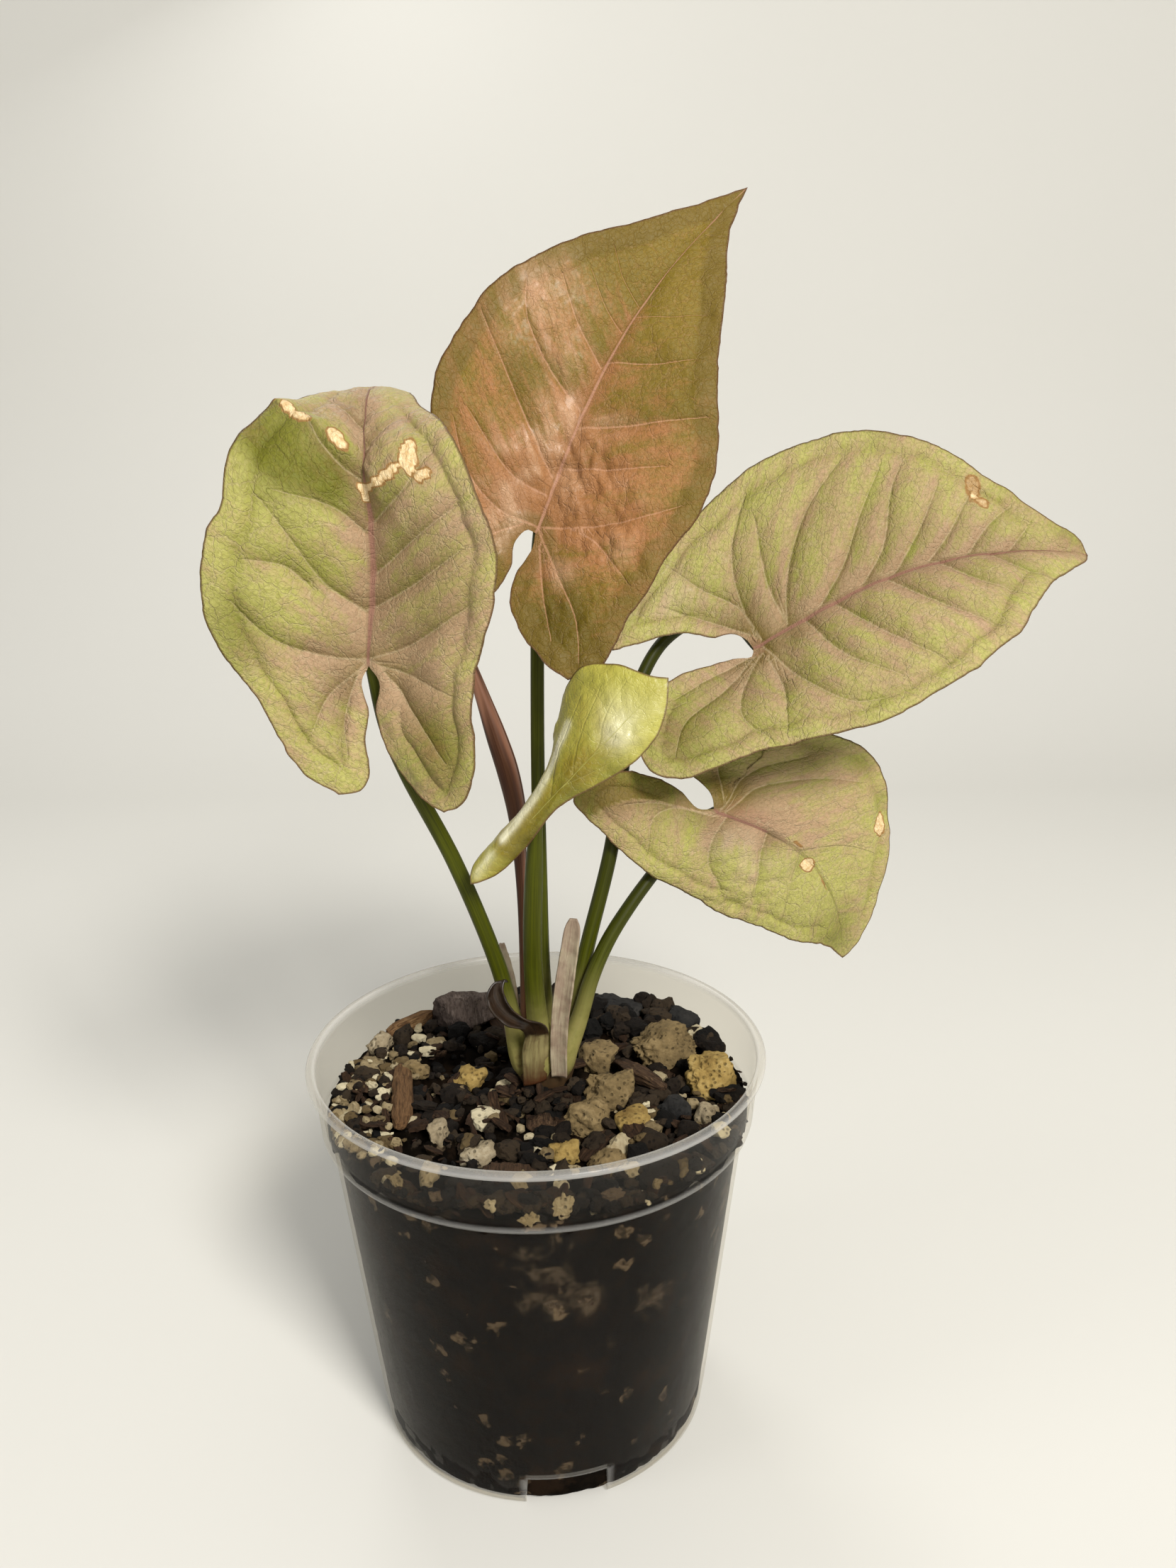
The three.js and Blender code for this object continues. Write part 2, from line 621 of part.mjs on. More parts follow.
function piece(spec, seed, detail, extra) {
  const shape = lump(spec.half, seed, { detail, extra });
  shape.rotateX(rad(spec.tilt ?? 0));
  shape.rotateZ(rad(spec.turn));
  shape.translate(...spec.at);
  return toSolid(shape);
}

// The body of the mix: up the wall of the pot in steps, then rings for the top.
function mixBody() {
  const { wall, floor, collarHeight } = POT;
  const shy = 2 * GAP; // more than a gap, as both rounds have flat facets
  const corner = 3 * wall;
  const under = collarHeight - 2 * wall;
  const edge = POT.collarFoot - wall - 1.5 * GAP;
  const levels = [
    [wallRadius(floor) - wall - shy - wall, floor + GAP],
    [wallRadius(corner) - wall - shy, corner],
    [wallRadius(under) - wall - shy, under],
    [edge, collarHeight + 2 * wall],
  ];
  const sheet = new Sheet();
  const ring = (radius, heightAt) => Array.from({ length: FACETS + 1 }, (_, i) => {
    const turn = (2 * Math.PI * (i % FACETS)) / FACETS;
    const [x, y] = [radius * Math.sin(turn), -radius * Math.cos(turn)];
    return sheet.vertex(new THREE.Vector3(x, y, heightAt(x, y)));
  });
  const rows = [ring(0, () => floor + GAP)];
  for (const [radius, z] of levels) rows.push(ring(radius, () => z));
  for (let k = MIX.rings; k >= 0; k--) rows.push(ring((edge * k) / MIX.rings, mixHeight));
  sheet.grid(rows, true);
  return toSolid(toGeometry(sheet.points.flatMap((p) => p.toArray()), sheet.triangles));
}

// Small bits of pumice, bark and grit, spread evenly over the surface and sunk half in.
function addSmallBits(body) {
  const random = seeded(4127);
  const golden = Math.PI * (3 - Math.sqrt(5));
  const [nearest, spread] = [7, 36.5]; // mm from the axis, and from there out to the wall
  let solid = body;
  for (let k = 0; k < MIX.smallBits; k++) {
    const radius = nearest + spread * Math.sqrt((k + 0.5) / MIX.smallBits);
    const turn = golden * k + 0.5 * random();
    const [x, y] = [radius * Math.cos(turn), radius * Math.sin(turn)];
    const half = [1.6 + 1.6 * random(), 1.4 + 1.2 * random(), 1.3 + 0.8 * random()];
    const spec = { at: [x, y, mixHeight(x, y) + 0.3], half, turn: 360 * random() };
    solid = solid.add(piece(spec, 900 + k, 0, 0));
  }
  return solid;
}

// ---------------------------------------------------------------- assembly

const group = new THREE.Group();

function add(name, geometry, { color, roughness = 0.6, metalness = 0, opacity = 1 }) {
  const transparent = opacity < 1;
  const material = new THREE.MeshStandardMaterial({ color, roughness, metalness, opacity, transparent });
  const mesh = new THREE.Mesh(geometry, material);
  mesh.name = name;
  group.add(mesh);
}

add('pot', potGeometry(), { color: '#b9b4aa', roughness: 0.3, opacity: 0.35 });
add('crown', fromSolid(crownSolid(0)), { color: '#5b4a2a', roughness: 0.7 });

const crownSocket = crownSolid(GAP);
const looks = [
  ['pumice', PUMICE, '#b8a67c', 1, 100],
  ['charcoal', CHARCOAL, '#23211e', 1, 200],
  ['bark', BARK, '#4a3526', 1, 300],
];
let mix = addSmallBits(mixBody()).subtract(crownSocket);
const placed = [];
for (const [kind, list, color, detail, seed] of looks) {
  list.forEach((spec, i) => {
    let solid = piece(spec, seed + 7 * i, detail, 0).subtract(crownSocket);
    for (const other of placed) solid = solid.subtract(other);
    const socket = piece(spec, seed + 7 * i, detail, GAP * 1.2);
    placed.push(socket);
    mix = mix.subtract(socket);
    add(`${kind}_${i + 1}`, fromSolid(solid), { color, roughness: 0.9 });
  });
}
add('potting_mix', fromSolid(mix), { color: '#1d1712', roughness: 0.95 });

const greens = { top: '#8a6a35', left: '#8c8a4a', right: '#a09a5c', lower: '#9a9350' };
for (const [name, leaf] of Object.entries(LEAVES)) {
  add(`petiole_${name}`, petioleGeometry(leaf), { color: '#4d5a14', roughness: 0.45 });
  add(`blade_${name}`, bladeGeometry(leaf), { color: greens[name], roughness: 0.5 });
}
add('petiole_young', petioleGeometry(YOUNG), { color: '#5d6a20', roughness: 0.45 });
add('blade_young', youngBladeGeometry(), { color: '#a8a443', roughness: 0.3 });
add('spear', tube(SPEAR, { sides: 9, steps: 16 }), { color: '#6d4634', roughness: 0.5 });
for (const [name, sheath] of Object.entries(SHEATHS)) {
  const color = name === 'dried_sheath' ? '#3a2413' : '#b9a58c';
  add(name, sheathGeometry(sheath), { color, roughness: 0.7 });
}

export default group;
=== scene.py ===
"""Looks of a young arrowhead plant in a clear nursery pot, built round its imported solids.

Shapes are worked out in millimetres, +Z up, with the origin under the middle of the pot. MM turns them into
metres.
"""
import math
import random
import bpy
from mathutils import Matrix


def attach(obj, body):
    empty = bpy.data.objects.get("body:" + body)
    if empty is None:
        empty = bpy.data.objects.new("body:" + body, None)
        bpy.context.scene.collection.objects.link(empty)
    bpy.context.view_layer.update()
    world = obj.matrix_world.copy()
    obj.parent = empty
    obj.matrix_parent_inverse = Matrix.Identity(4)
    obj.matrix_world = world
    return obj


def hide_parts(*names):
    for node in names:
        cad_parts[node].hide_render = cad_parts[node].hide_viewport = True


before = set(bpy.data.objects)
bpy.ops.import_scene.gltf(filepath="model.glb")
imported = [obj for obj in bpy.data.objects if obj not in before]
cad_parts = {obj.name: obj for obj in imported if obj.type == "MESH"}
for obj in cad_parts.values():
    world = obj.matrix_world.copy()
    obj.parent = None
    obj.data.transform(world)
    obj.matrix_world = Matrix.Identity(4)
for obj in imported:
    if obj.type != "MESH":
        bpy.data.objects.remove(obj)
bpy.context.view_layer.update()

from types import SimpleNamespace

import bmesh
import bpy
import numpy as np
from mathutils import Matrix, Vector, noise

bl_info = {
    "name": "Potted arrowhead plant",
    "version": (1, 0, 0),
    "blender": (4, 5, 0),
    "location": "View3D > Sidebar > Arrowhead plant",
    "description": "Builds a potted arrowhead plant: leaves, stalks, sheaths, potting mix and a clear pot",
    "category": "Add Mesh",
}

MM = 0.001  # metres in a millimetre

# ------------------------------------------------------------------ shapes of the plant, in millimetres

POT = {"height": 88, "lip_radius": 50, "lip_width": 2.1, "lip_depth": 1.5,
       "collar_top": 48.6, "collar_foot": 47.5, "collar_height": 74,
       "wall_top": 45.8, "base": 37.4, "wall": 0.8, "floor": 0.9,
       "notches": 4, "notch_width": 18, "notch_height": 7.5, "notch_depth": 7, "first_notch": -81}
MIX = {"level": 76.5, "back_rise": 1.8, "roughness": 0.7}
# loose bits: how far out they may lie, strewn or heaped, the ring that stays clear round the crown, the share
# of big ones, and the edge of the strip by the left wall where grit and bark lie
LOOSE = {"reach": 46.3, "heap_reach": 46.0, "crown_x": 1.5, "clear_ring": 5.5, "big_share": 0.12,
         "left_strip": -27}

# seat: where the stalk joins the blade; toward and face: where the tip points and the upper side faces there;
# length: from seat to tip; sway: how far the midrib bends aside.
# form rows: u, bend of the midrib, then fold and curl (degrees a millimetre) of the left and the right half.
# left, right: the margin from the tip round the basal lobe to the seat, as (u, distance out).
# left_veins, right_veins: side veins and lobe veins, as (u, distance out) from the rib outwards.
LEAVES = {
    "top": {
        "seat": (2.9, 0, 199.3), "toward": (0.53, 0.22, 0.82), "face": (-0.05, -1, 0.15), "length": 80,
        "sway": -5,
        "form": [(-40, -12, 14, -0.2, 14, -0.2), (0, 4, 14, -0.3, 14, -0.3), (40, 0, 12, -0.3, 12, -0.3),
                 (90, -20, 10, 0, 10, 0)],
        "left": [(80, 0), (71, 4), (62, 9), (55, 14), (45, 21), (35, 26), (25, 28), (14, 29), (3, 26),
                 (-8, 22), (-17, 18), (-23, 11), (-22, 5), (-16, 1.2), (-9, 0.8), (-5, 2.6), (-1.5, 1.8),
                 (-1.2, 0)],
        "right": [(80, 0), (74, 2), (67, 5), (59, 10.5), (52, 14.5), (41, 20.5), (34, 25), (26, 28.5),
                  (17, 29), (6, 26), (-6, 24.5), (-17, 25), (-23, 21), (-22.5, 16), (-20, 9), (-16, 3.5),
                  (-10, 0.8), (-4, 1), (-1.2, 0)],
        "left_veins": [[(9, 0), (15, 8), (21, 16), (29, 26)], [(23, 0), (27, 10), (33, 18), (38, 21)],
                       [(32, 0), (37, 9), (43, 16)], [(40, 0), (42, 5), (47, 12)],
                       [(46, 0), (49, 6), (53, 11)], [(0, 0), (-1, 9), (2, 17), (9, 23)],
                       [(6, 0), (6, 9), (12, 21)], [(-1, 3), (-7, 8), (-14, 11), (-19, 10)]],
        "right_veins": [[(0, 0), (4, 8), (10, 17), (17, 25)], [(20, 0), (25, 9), (34, 22)],
                        [(12, 0), (16, 9), (22, 19)], [(34, 0), (38, 8), (42, 14)],
                        [(44, 0), (48, 7), (51, 11)], [(3, 6), (3, 12), (0, 20)],
                        [(-1, 1), (-6, 8), (-12, 16), (-19, 21)], [(-3, 2), (-10, 7), (-18, 14)]],
    },
    "left": {
        "seat": (-27.3, -25, 178.2), "toward": (0, -0.03, 1), "face": (-0.11, -1, 0), "length": 51, "sway": 2,
        "form": [(-40, -10, 20, -0.2, 20, -0.2), (0, 4, 20, -0.2, 20, -0.2), (30, 0, 20, -0.2, 20, -0.2),
                 (38, -42, 12, 0, 12, 0), (46, -56, 2, 0, 1, 0), (52, -84, 0, 0, 0, 0),
                 (68, -165, 0, 0, 0, 0)],
        "left": [(67, 0), (60, 5), (53, 8.4), (47, 12), (43, 16), (39, 19.8), (35, 22.3), (31, 23.6),
                 (28, 24.4), (24, 27), (16, 28.7), (8, 28), (0, 23.5), (-7, 19.5), (-16, 16), (-21.5, 12.5),
                 (-25, 7), (-24.5, 3), (-21, 1.2), (-15, 1.8), (-10, 0.7), (-4, 1.6), (-1.2, 0)],
        "right": [(67, 0), (60, 4.6), (52, 7), (47, 9.2), (42, 12.4), (37, 16.2), (32, 20), (24, 24),
                  (15, 25), (8, 24), (0, 21.8), (-9, 21), (-19, 21), (-25.5, 18.5), (-27.5, 14.5),
                  (-25, 9.5), (-18, 4), (-10, 1.2), (-4, 2), (-1.2, 0)],
        "left_veins": [[(0, 0), (1, 8), (5, 17), (12, 24)], [(8, 0), (14, 8), (22, 13.5), (29, 18)],
                       [(14, 11), (17.5, 15), (19, 21)], [(22, 0), (27, 6), (30, 15)],
                       [(31, 0), (35, 6), (40, 11)], [(-1, 1), (-7, 8), (-13, 11)],
                       [(-2, 2), (-11, 5), (-18, 5)], [(40, 0), (46, 6)]],
        "right_veins": [[(0, 0), (3, 8), (11, 20)], [(9, 0), (14, 9), (20, 18)], [(15, 0), (21, 8), (27, 17)],
                        [(-1, 2), (-2.5, 8), (-5, 16)], [(-2, 3), (-10, 9), (-18, 15)],
                        [(24, 0), (30, 8), (35, 13)], [(36, 0), (41, 6)]],
    },
    "right": {
        "seat": (48.2, 12, 173.5), "toward": (0.93, 0, 0.3), "face": (-0.1, -0.85, 0.5), "length": 75,
        "sway": -6,
        "form": [(-40, -14, 10, -0.2, 10, -0.2), (0, 4, 10, -0.3, 10, -0.3), (40, -6, 10, -0.3, 10, -0.3),
                 (90, -36, 8, 0, 8, 0)],
        "left": [(75, 0), (73, 4.5), (68, 7), (62, 12.5), (57, 17), (49, 25), (41, 30), (33, 33), (25, 34.5),
                 (12, 35.5), (1, 34), (-10, 29), (-20, 22), (-28, 14), (-30, 8.5), (-24, 8.5), (-15, 8),
                 (-9, 5), (-4.4, 4.4), (-2, 2.4), (-1.2, 0)],
        "right": [(75, 0), (73.5, 1.8), (69, 4.5), (63, 8), (56, 14.5), (50, 20.5), (45, 23), (39, 26),
                  (29, 28.3), (20, 29.3), (10, 27), (2, 24), (-6, 22.8), (-15, 23.2), (-24, 23.6),
                  (-30, 20.5), (-31, 15), (-27, 7), (-21, 1.6), (-14, 0.6), (-6, 0.8), (-2, 1.8), (-1.2, 0)],
        "left_veins": [[(1, 1), (-0.5, 10), (1, 21), (8, 31)], [(7, 0), (10, 9), (18, 20), (28, 27)],
                       [(7, 2), (6, 11), (8, 25)], [(14, 0), (22, 6), (29, 15), (36, 23)],
                       [(24, 0), (31, 6), (37, 18), (41, 23)], [(32, 0), (40, 8), (46, 16)],
                       [(39, 0), (45, 5), (52, 13)], [(0, 2), (-1, 9), (-8, 16), (-13, 23)],
                       [(-1, 3), (-9, 9), (-16, 14)], [(48, 0), (54, 6), (60, 10)], [(57, 0), (62, 5)]],
        "right_veins": [[(1, 1), (7, 13), (14, 22), (21, 25)], [(11, 0), (16, 12), (25, 22)],
                        [(18, 0), (25, 11), (34, 22)], [(30, 0), (38, 10), (47, 18)],
                        [(42, 0), (48, 7), (54, 11)], [(0, 2), (-6, 8), (-8, 14), (-4, 21)],
                        [(1, 4), (2, 11), (0, 20)], [(-1, 2), (-10, 7), (-20, 12), (-24, 18)],
                        [(-3, 2), (-12, 3.5), (-21, 6)], [(53, 0), (58, 5), (62, 7)]],
    },
    "lower": {
        "seat": (39.7, 8, 138.2), "toward": (0.66, 0.15, -0.72), "face": (0.33, -0.88, 0.3), "length": 56,
        "sway": -8,
        "form": [(-40, -10, -16, 0, -5, -1.2), (0, 0, 14, 0, -5, -1.2), (35, -12, 14, 0, -5, -1.2),
                 (75, -32, 14, 0, -5, -1.2)],
        "left": [(56, 0), (56, 2.8), (54.6, 6.6), (51, 11), (46, 14.8), (41, 18.8), (34, 23), (27, 26.5),
                 (20, 28), (12, 27.5), (3, 25), (-7, 22.5), (-15, 19), (-19.5, 13), (-17, 7), (-11, 3),
                 (-4, 2.2), (-1.2, 0)],
        "right": [(56, 0), (48, 5), (40, 13), (29, 19), (20, 22), (9, 21), (0, 19.6), (-9, 20.6), (-18, 20.5),
                  (-24, 21), (-26, 18.5), (-24.5, 12.5), (-21, 7.5), (-15, 4), (-9, 2), (-4, 2.4), (-1.2, 0)],
        "left_veins": [[(1, 0), (5, 9), (13, 16), (22, 21)], [(0, 1), (2, 12), (9, 20)],
                       [(22, 0), (30, 8), (38, 14)], [(-1, 3), (-7, 10), (-10, 17)]],
        "right_veins": [[(2, 0), (3, 5), (7, 12), (15, 17)], [(13, 0), (16, 6), (22, 14)],
                        [(23, 0), (27, 7), (33, 13)], [(0, 1), (-8, 6), (-10, 11), (-6, 16)],
                        [(-2, 2), (-12, 8), (-17, 13)], [(34, 0), (38, 5), (43, 8)]],
    },
}
YOUNG = {
    "seat": (2.04, -22, 147.5), "toward": (0.687, 0, 0.726), "face": (-0.1, -0.95, 0.3), "length": 36,
    "sway": 0,
    "form": [(-20, 6, 0, -25, 0, -22), (-11, 2, 0, -21, 0, -18), (-3, 0, 0, -20, 0, -13),
             (4.5, 0, 0, -13, 0, -7), (12, 0, 0, -6.2, 0, -3), (19, 0, 0, -3.6, 0, -3),
             (26, -3, 0, -2, 0, -3), (36, -8, 0, -2, 0, -3)],
    "left": [(36, 0), (34, 2.6), (31.2, 8.7), (27, 13.6), (23, 15), (16, 14.4), (9, 12.6), (2, 11), (-5, 8.6),
             (-12, 5.2), (-17, 2.4), (-19.3, 0)],
    "right": [(36, 0), (34, 2), (31, 4.2), (27, 6), (21, 6.5), (14, 5), (8, 3), (3.7, 2), (-2, 2.4),
              (-7, 3.2), (-13, 2.6), (-17, 1.3), (-19.3, 0)],
    "left_veins": [[(4, 0), (12, 6), (22, 10)], [(10, 0), (18, 5), (26, 8)], [(17, 0), (24, 4), (30, 5)]],
    "right_veins": [[(8, 0), (15, 2.6), (22, 4.6)], [(16, 0), (23, 2.4), (28, 3.6)]],
}
# x, y, z and radius of each stalk from the crown up to its blade. The rolled leaf, the crown and the roots are
# given in the same way.
PETIOLES = {
    "top": [(1.5, 3.1, 80, 1.6), (1.5, 3.1, 83.5, 2.7), (1.5, 3.1, 87, 2.8), (1.5, 2.9, 94, 2.2),
            (1.5, 2.6, 106, 1.6), (1.4, 3.2, 125.7, 1.5), (1.4, 4, 150.5, 1.45), (1.9, 4.2, 177.3, 1.4),
            (2.3, 3.8, 192, 1.4), (2.9, 1.2, 199, 1.2)],
    "left": [(-1.6, -0.8, 80, 1.6), (-2.8, -1.6, 83.5, 2.6), (-3.6, -2.2, 87, 2.7), (-5.2, -4.6, 97.6, 1.9),
             (-7.6, -7.5, 110.4, 1.7), (-14.9, -14, 135.6, 1.6), (-22.7, -18.6, 155.2, 1.5),
             (-25.8, -19.8, 164.6, 1.4), (-27.2, -23.8, 177.6, 1.2)],
    "right": [(4.2, 1, 80, 1.6), (5.4, 1.5, 83.5, 2.6), (6.2, 1.7, 87, 2.6), (8.6, 2.4, 97, 1.9),
              (11.1, 3.4, 108.7, 1.7), (16.7, 6.5, 130.8, 1.6), (19.6, 11, 149.2, 1.5),
              (22.6, 17, 163, 1.45), (29, 21.5, 173.5, 1.4), (38, 22.4, 178.4, 1.35),
              (44.5, 19.2, 176.9, 1.3), (48.1, 14.2, 173.0, 1.0)],
    "lower": [(4, -1.6, 80, 1.6), (5.2, -2.3, 83.5, 2.6), (6.3, -2.7, 87.4, 2.6), (9.2, -2, 94.3, 1.95),
              (12.2, -0.4, 103.8, 1.7), (16, 2, 111.6, 1.6), (21, 5, 118.6, 1.5), (27, 8.6, 125.6, 1.45),
              (34, 11.6, 134, 1.4), (39.4, 9.2, 138, 1.2)],
    "young": [(1.4, -1.6, 80, 1.8), (1.2, -2.6, 83.5, 3.0), (1.1, -3.4, 87.4, 3.1), (0.4, -6, 97, 2.3),
              (0, -9.5, 110, 2), (0.3, -13, 122, 1.95), (1, -16.4, 134, 1.8), (1.5, -18.2, 141, 1.5),
              (2, -20.6, 147.2, 1.2)],
}
SPEAR = [(-2.2, 3.2, 82, 1.3), (-2.7, 3.7, 86.4, 1.1), (-2.6, 3.6, 103, 1), (-2.6, 4, 119.6, 1.1),
         (-2.9, 4.6, 130.5, 1.4), (-3.3, 5, 139.7, 2.0), (-5, 5.4, 148.8, 2.3), (-7.2, 6, 156.2, 2.15),
         (-9.8, 6.4, 164.5, 1.55), (-12.6, 7, 173, 1.0), (-15, 7.4, 181, 0.35)]
CROWN = [(2.2, 0.2, 56, 2.6), (2.2, 0.2, 66, 4.2), (2.0, 0.1, 76, 4.9), (1.6, 0, 80, 6),
         (1.5, 0, 83.5, 6.6), (1.5, 0, 87, 4.5)]
ROOTS = [[(1, -1, 64, 1.6), (-8, -8, 56, 1.4), (-17, -13, 44, 1.2), (-23, -16, 28, 0.9), (-24, -14, 14, 0.7)],
         [(3, -1, 63, 1.6), (11, -8, 54, 1.4), (19, -15, 42, 1.2), (22, -20, 26, 0.9), (20, -22, 10, 0.7)],
         [(3, 2, 62, 1.6), (10, 10, 52, 1.4), (14, 20, 40, 1.1), (13, 26, 24, 0.9), (8, 28, 9, 0.7)],
         [(1, 2, 61, 1.5), (-7, 9, 50, 1.3), (-14, 18, 37, 1.1), (-18, 24, 22, 0.9), (-16, 24, 9, 0.7)]]
# the direction across, then x, y, z of the middle line, width, and how far the edges stand forward of it
SHEATHS = {
    "sheath_right": ((1, -0.2, 0), [(4.9, -5.9, 83, 3.4, 0.4), (4.9, -6.7, 90, 3.6, 0.6),
                                    (5.4, -6.7, 98, 3.8, 0.7), (6.5, -6.4, 106, 4.0, 0.7),
                                    (7.6, -5.9, 113, 3.7, 0.6), (8.3, -5.6, 118, 3.0, 0.4),
                                    (8.5, -5.5, 119.6, 1.4, 0.1)]),
    "sheath_left": ((1, 0.1, 0), [(-5.4, -0.4, 88, 2.4, -0.6), (-5.8, 0.6, 96, 3.6, -0.9),
                                  (-6.4, 1.4, 102, 3.6, -0.8), (-6.9, 1.7, 107, 2.6, -0.6),
                                  (-7.2, 1.8, 111, 0.8, -0.1)]),
    "dried_sheath": ((1, 0.15, 0.2), [(-0.4, -6.4, 81.5, 5.0, -0.8), (-0.2, -7.0, 86.5, 5.6, -1.0),
                                      (0.0, -8.2, 91.5, 5.6, -0.8), (0.4, -9.4, 95.4, 5.0, 0.4),
                                      (-0.6, -10.8, 98.2, 4.6, 1.6), (-3.2, -11.8, 99.8, 4.4, 2.0),
                                      (-5.6, -12.4, 102.0, 4.0, 1.8), (-7.2, -12.8, 104.8, 3.8, 1.7),
                                      (-7.6, -12.8, 107.4, 3.2, 1.5), (-6.6, -12.6, 109.0, 2.2, 0.9),
                                      (-5.6, -12.8, 108.6, 1.2, 0.4)]),
}
# centre, half sizes, turn about Z and tilt about X in degrees
STONES = {
    "pumice": [((28.7, 14.9, 79), (7.6, 6.4, 5.6), 10, 0), ((38.4, 2.2, 78.4), (5.6, 6.4, 4.8), -30, 0),
               ((13.8, 10.4, 78.6), (4.4, 4.6, 4), 25, 0), ((15.6, -2.6, 77.6), (5.8, 5.4, 4.6), 0, 0),
               ((10.6, -12.6, 76.6), (5.2, 4.6, 4.2), 35, 0), ((20.4, -14.6, 76), (4, 3.6, 3.4), 15, 0),
               ((6.4, -24.6, 76), (3.4, 3, 2.8), 5, 0), ((15, -27.4, 75.4), (4.6, 3.4, 3), 20, 0),
               ((36.4, -11.4, 76.4), (2.8, 2.6, 2.6), 0, 0), ((-15.4, 2.6, 77), (4, 3.2, 3.2), 30, 0),
               ((-11.5, -24.4, 75.8), (3.8, 2.8, 2.6), 5, 0), ((-20.4, -16.6, 75.8), (3, 2.6, 2.6), 60, 0),
               ((-28.6, 7.4, 77.4), (3.6, 2.2, 2.2), 0, 0), ((-38.2, 19.6, 77.8), (3.4, 3, 2.8), 45, 0)],
    "charcoal": [((29.2, -9.6, 76.4), (4, 3.4, 3.2), 10, 0), ((33.6, 26.4, 78.6), (3.8, 4.4, 3.6), 40, 0),
                 ((18.6, 33.6, 79.2), (6.6, 4.4, 3.6), -15, 0)],
    "bark": [((-30, -3.4, 77.4), (2.5, 13.4, 1.7), 8, 0), ((-19.4, 30.4, 80.2), (7.8, 5.6, 4.2), 12, 34),
             ((22.6, 2.8, 78.4), (2, 8.6, 1.6), 42, 0), ((1.2, -14.2, 76.2), (3.4, 2.4, 2.2), 4, 0),
             ((-4.6, -31, 75.6), (5.6, 2.6, 1.8), 0, 0), ((-32, 26.6, 79.6), (1.9, 8, 1.6), -37, -4)],
}

# heaps of loose bits: middle x and y, half sizes, how many, their kinds, smallest and largest half size, and
# the rise in the middle
HEAPS = [(-38, -6, 7, 17, 190, ("grit", "grit", "grit", "crumbs", "bark_bits"), 0.6, 1.6, 1.2),
         (-30, 22, 8, 9, 40, ("grit", "crumbs", "bark_bits"), 0.8, 1.9, 1.0),
         (22, 30, 15, 8, 60, ("crumbs",), 1.4, 3.0, 4.0),
         (38, 16, 5, 10, 26, ("crumbs", "crumbs", "grit"), 1.0, 2.4, 1.5),
         (0, 24, 16, 9, 46, ("crumbs", "bark_bits"), 1.2, 2.8, 2.0),
         (-16, -10, 14, 12, 60, ("crumbs", "crumbs", "bark_bits", "grit"), 1.0, 2.4, 1.0),
         (20, -22, 18, 12, 70, ("crumbs", "crumbs", "grit", "bark_bits"), 1.0, 2.4, 1.0),
         (32, -8, 12, 10, 40, ("crumbs", "crumbs", "grit"), 1.0, 2.6, 1.0),
         (0, -43, 30, 6, 110, ("crumbs", "crumbs", "bark_bits"), 0.8, 2.0, 3.0),
         (1.5, -7.4, 8.5, 4.4, 64, ("crumbs", "crumbs", "bark_bits"), 0.8, 1.9, 6.5),
         (8.8, -3, 3.4, 5, 24, ("crumbs", "bark_bits"), 0.8, 1.7, 5.0),
         (-5.8, -2, 3.4, 5, 24, ("crumbs", "bark_bits"), 0.8, 1.7, 5.0)]

# lumps pressed against the wall: bearing in degrees, height, half width, half height and kind
WALL_LUMPS = [(-82, 78, 2.2, 3.4, "grit"), (-90, 75.6, 2.4, 1.8, "grit"), (-125, 79, 2.2, 1.4, "grit"),
              (-113, 78.5, 1.6, 1.2, "dim"), (-99, 78.6, 1.4, 1.6, "grit"), (-70, 79, 2.6, 1.5, "dim"),
              (-58, 78.4, 1.4, 1.2, "grit"), (-84, 68, 2.2, 1.2, "dim"), (-89, 63, 1.4, 4.2, "dim"),
              (-87, 55, 3.6, 3.2, "dim"), (-76, 55, 3.0, 2.0, "dim"), (-81, 58.5, 2.2, 1.4, "dim"),
              (-55, 49, 4.2, 1.8, "dim"), (-109, 41, 1.6, 1.4, "dim"), (-68, 41, 1.4, 1.0, "dim"),
              (-91, 21, 1.2, 1.0, "dim"), (-20, 60, 3.4, 2.2, "dim"), (24, 46, 2.4, 3.4, "dim"),
              (60, 66, 3, 2, "dim"), (95, 30, 2.6, 2.2, "dim"), (128, 58, 3.6, 1.8, "dim"),
              (160, 40, 2.0, 3.0, "dim"), (-160, 66, 2.4, 1.6, "dim")]

# for each kind of stone its usual skin, and the skins of single ones by number
SKINS = {
    "pumice": ("tan_pumice", {2: "gold_pumice", 6: "gold_pumice", 7: "gold_pumice", 9: "white_pumice",
                              10: "gold_pumice", 11: "white_pumice", 12: "white_pumice", 14: "white_pumice"}),
    "charcoal": ("charcoal", {}),
    "bark": ("bark", {1: "rusty_bark", 2: "mauve_bark", 6: "rusty_bark"}),
}
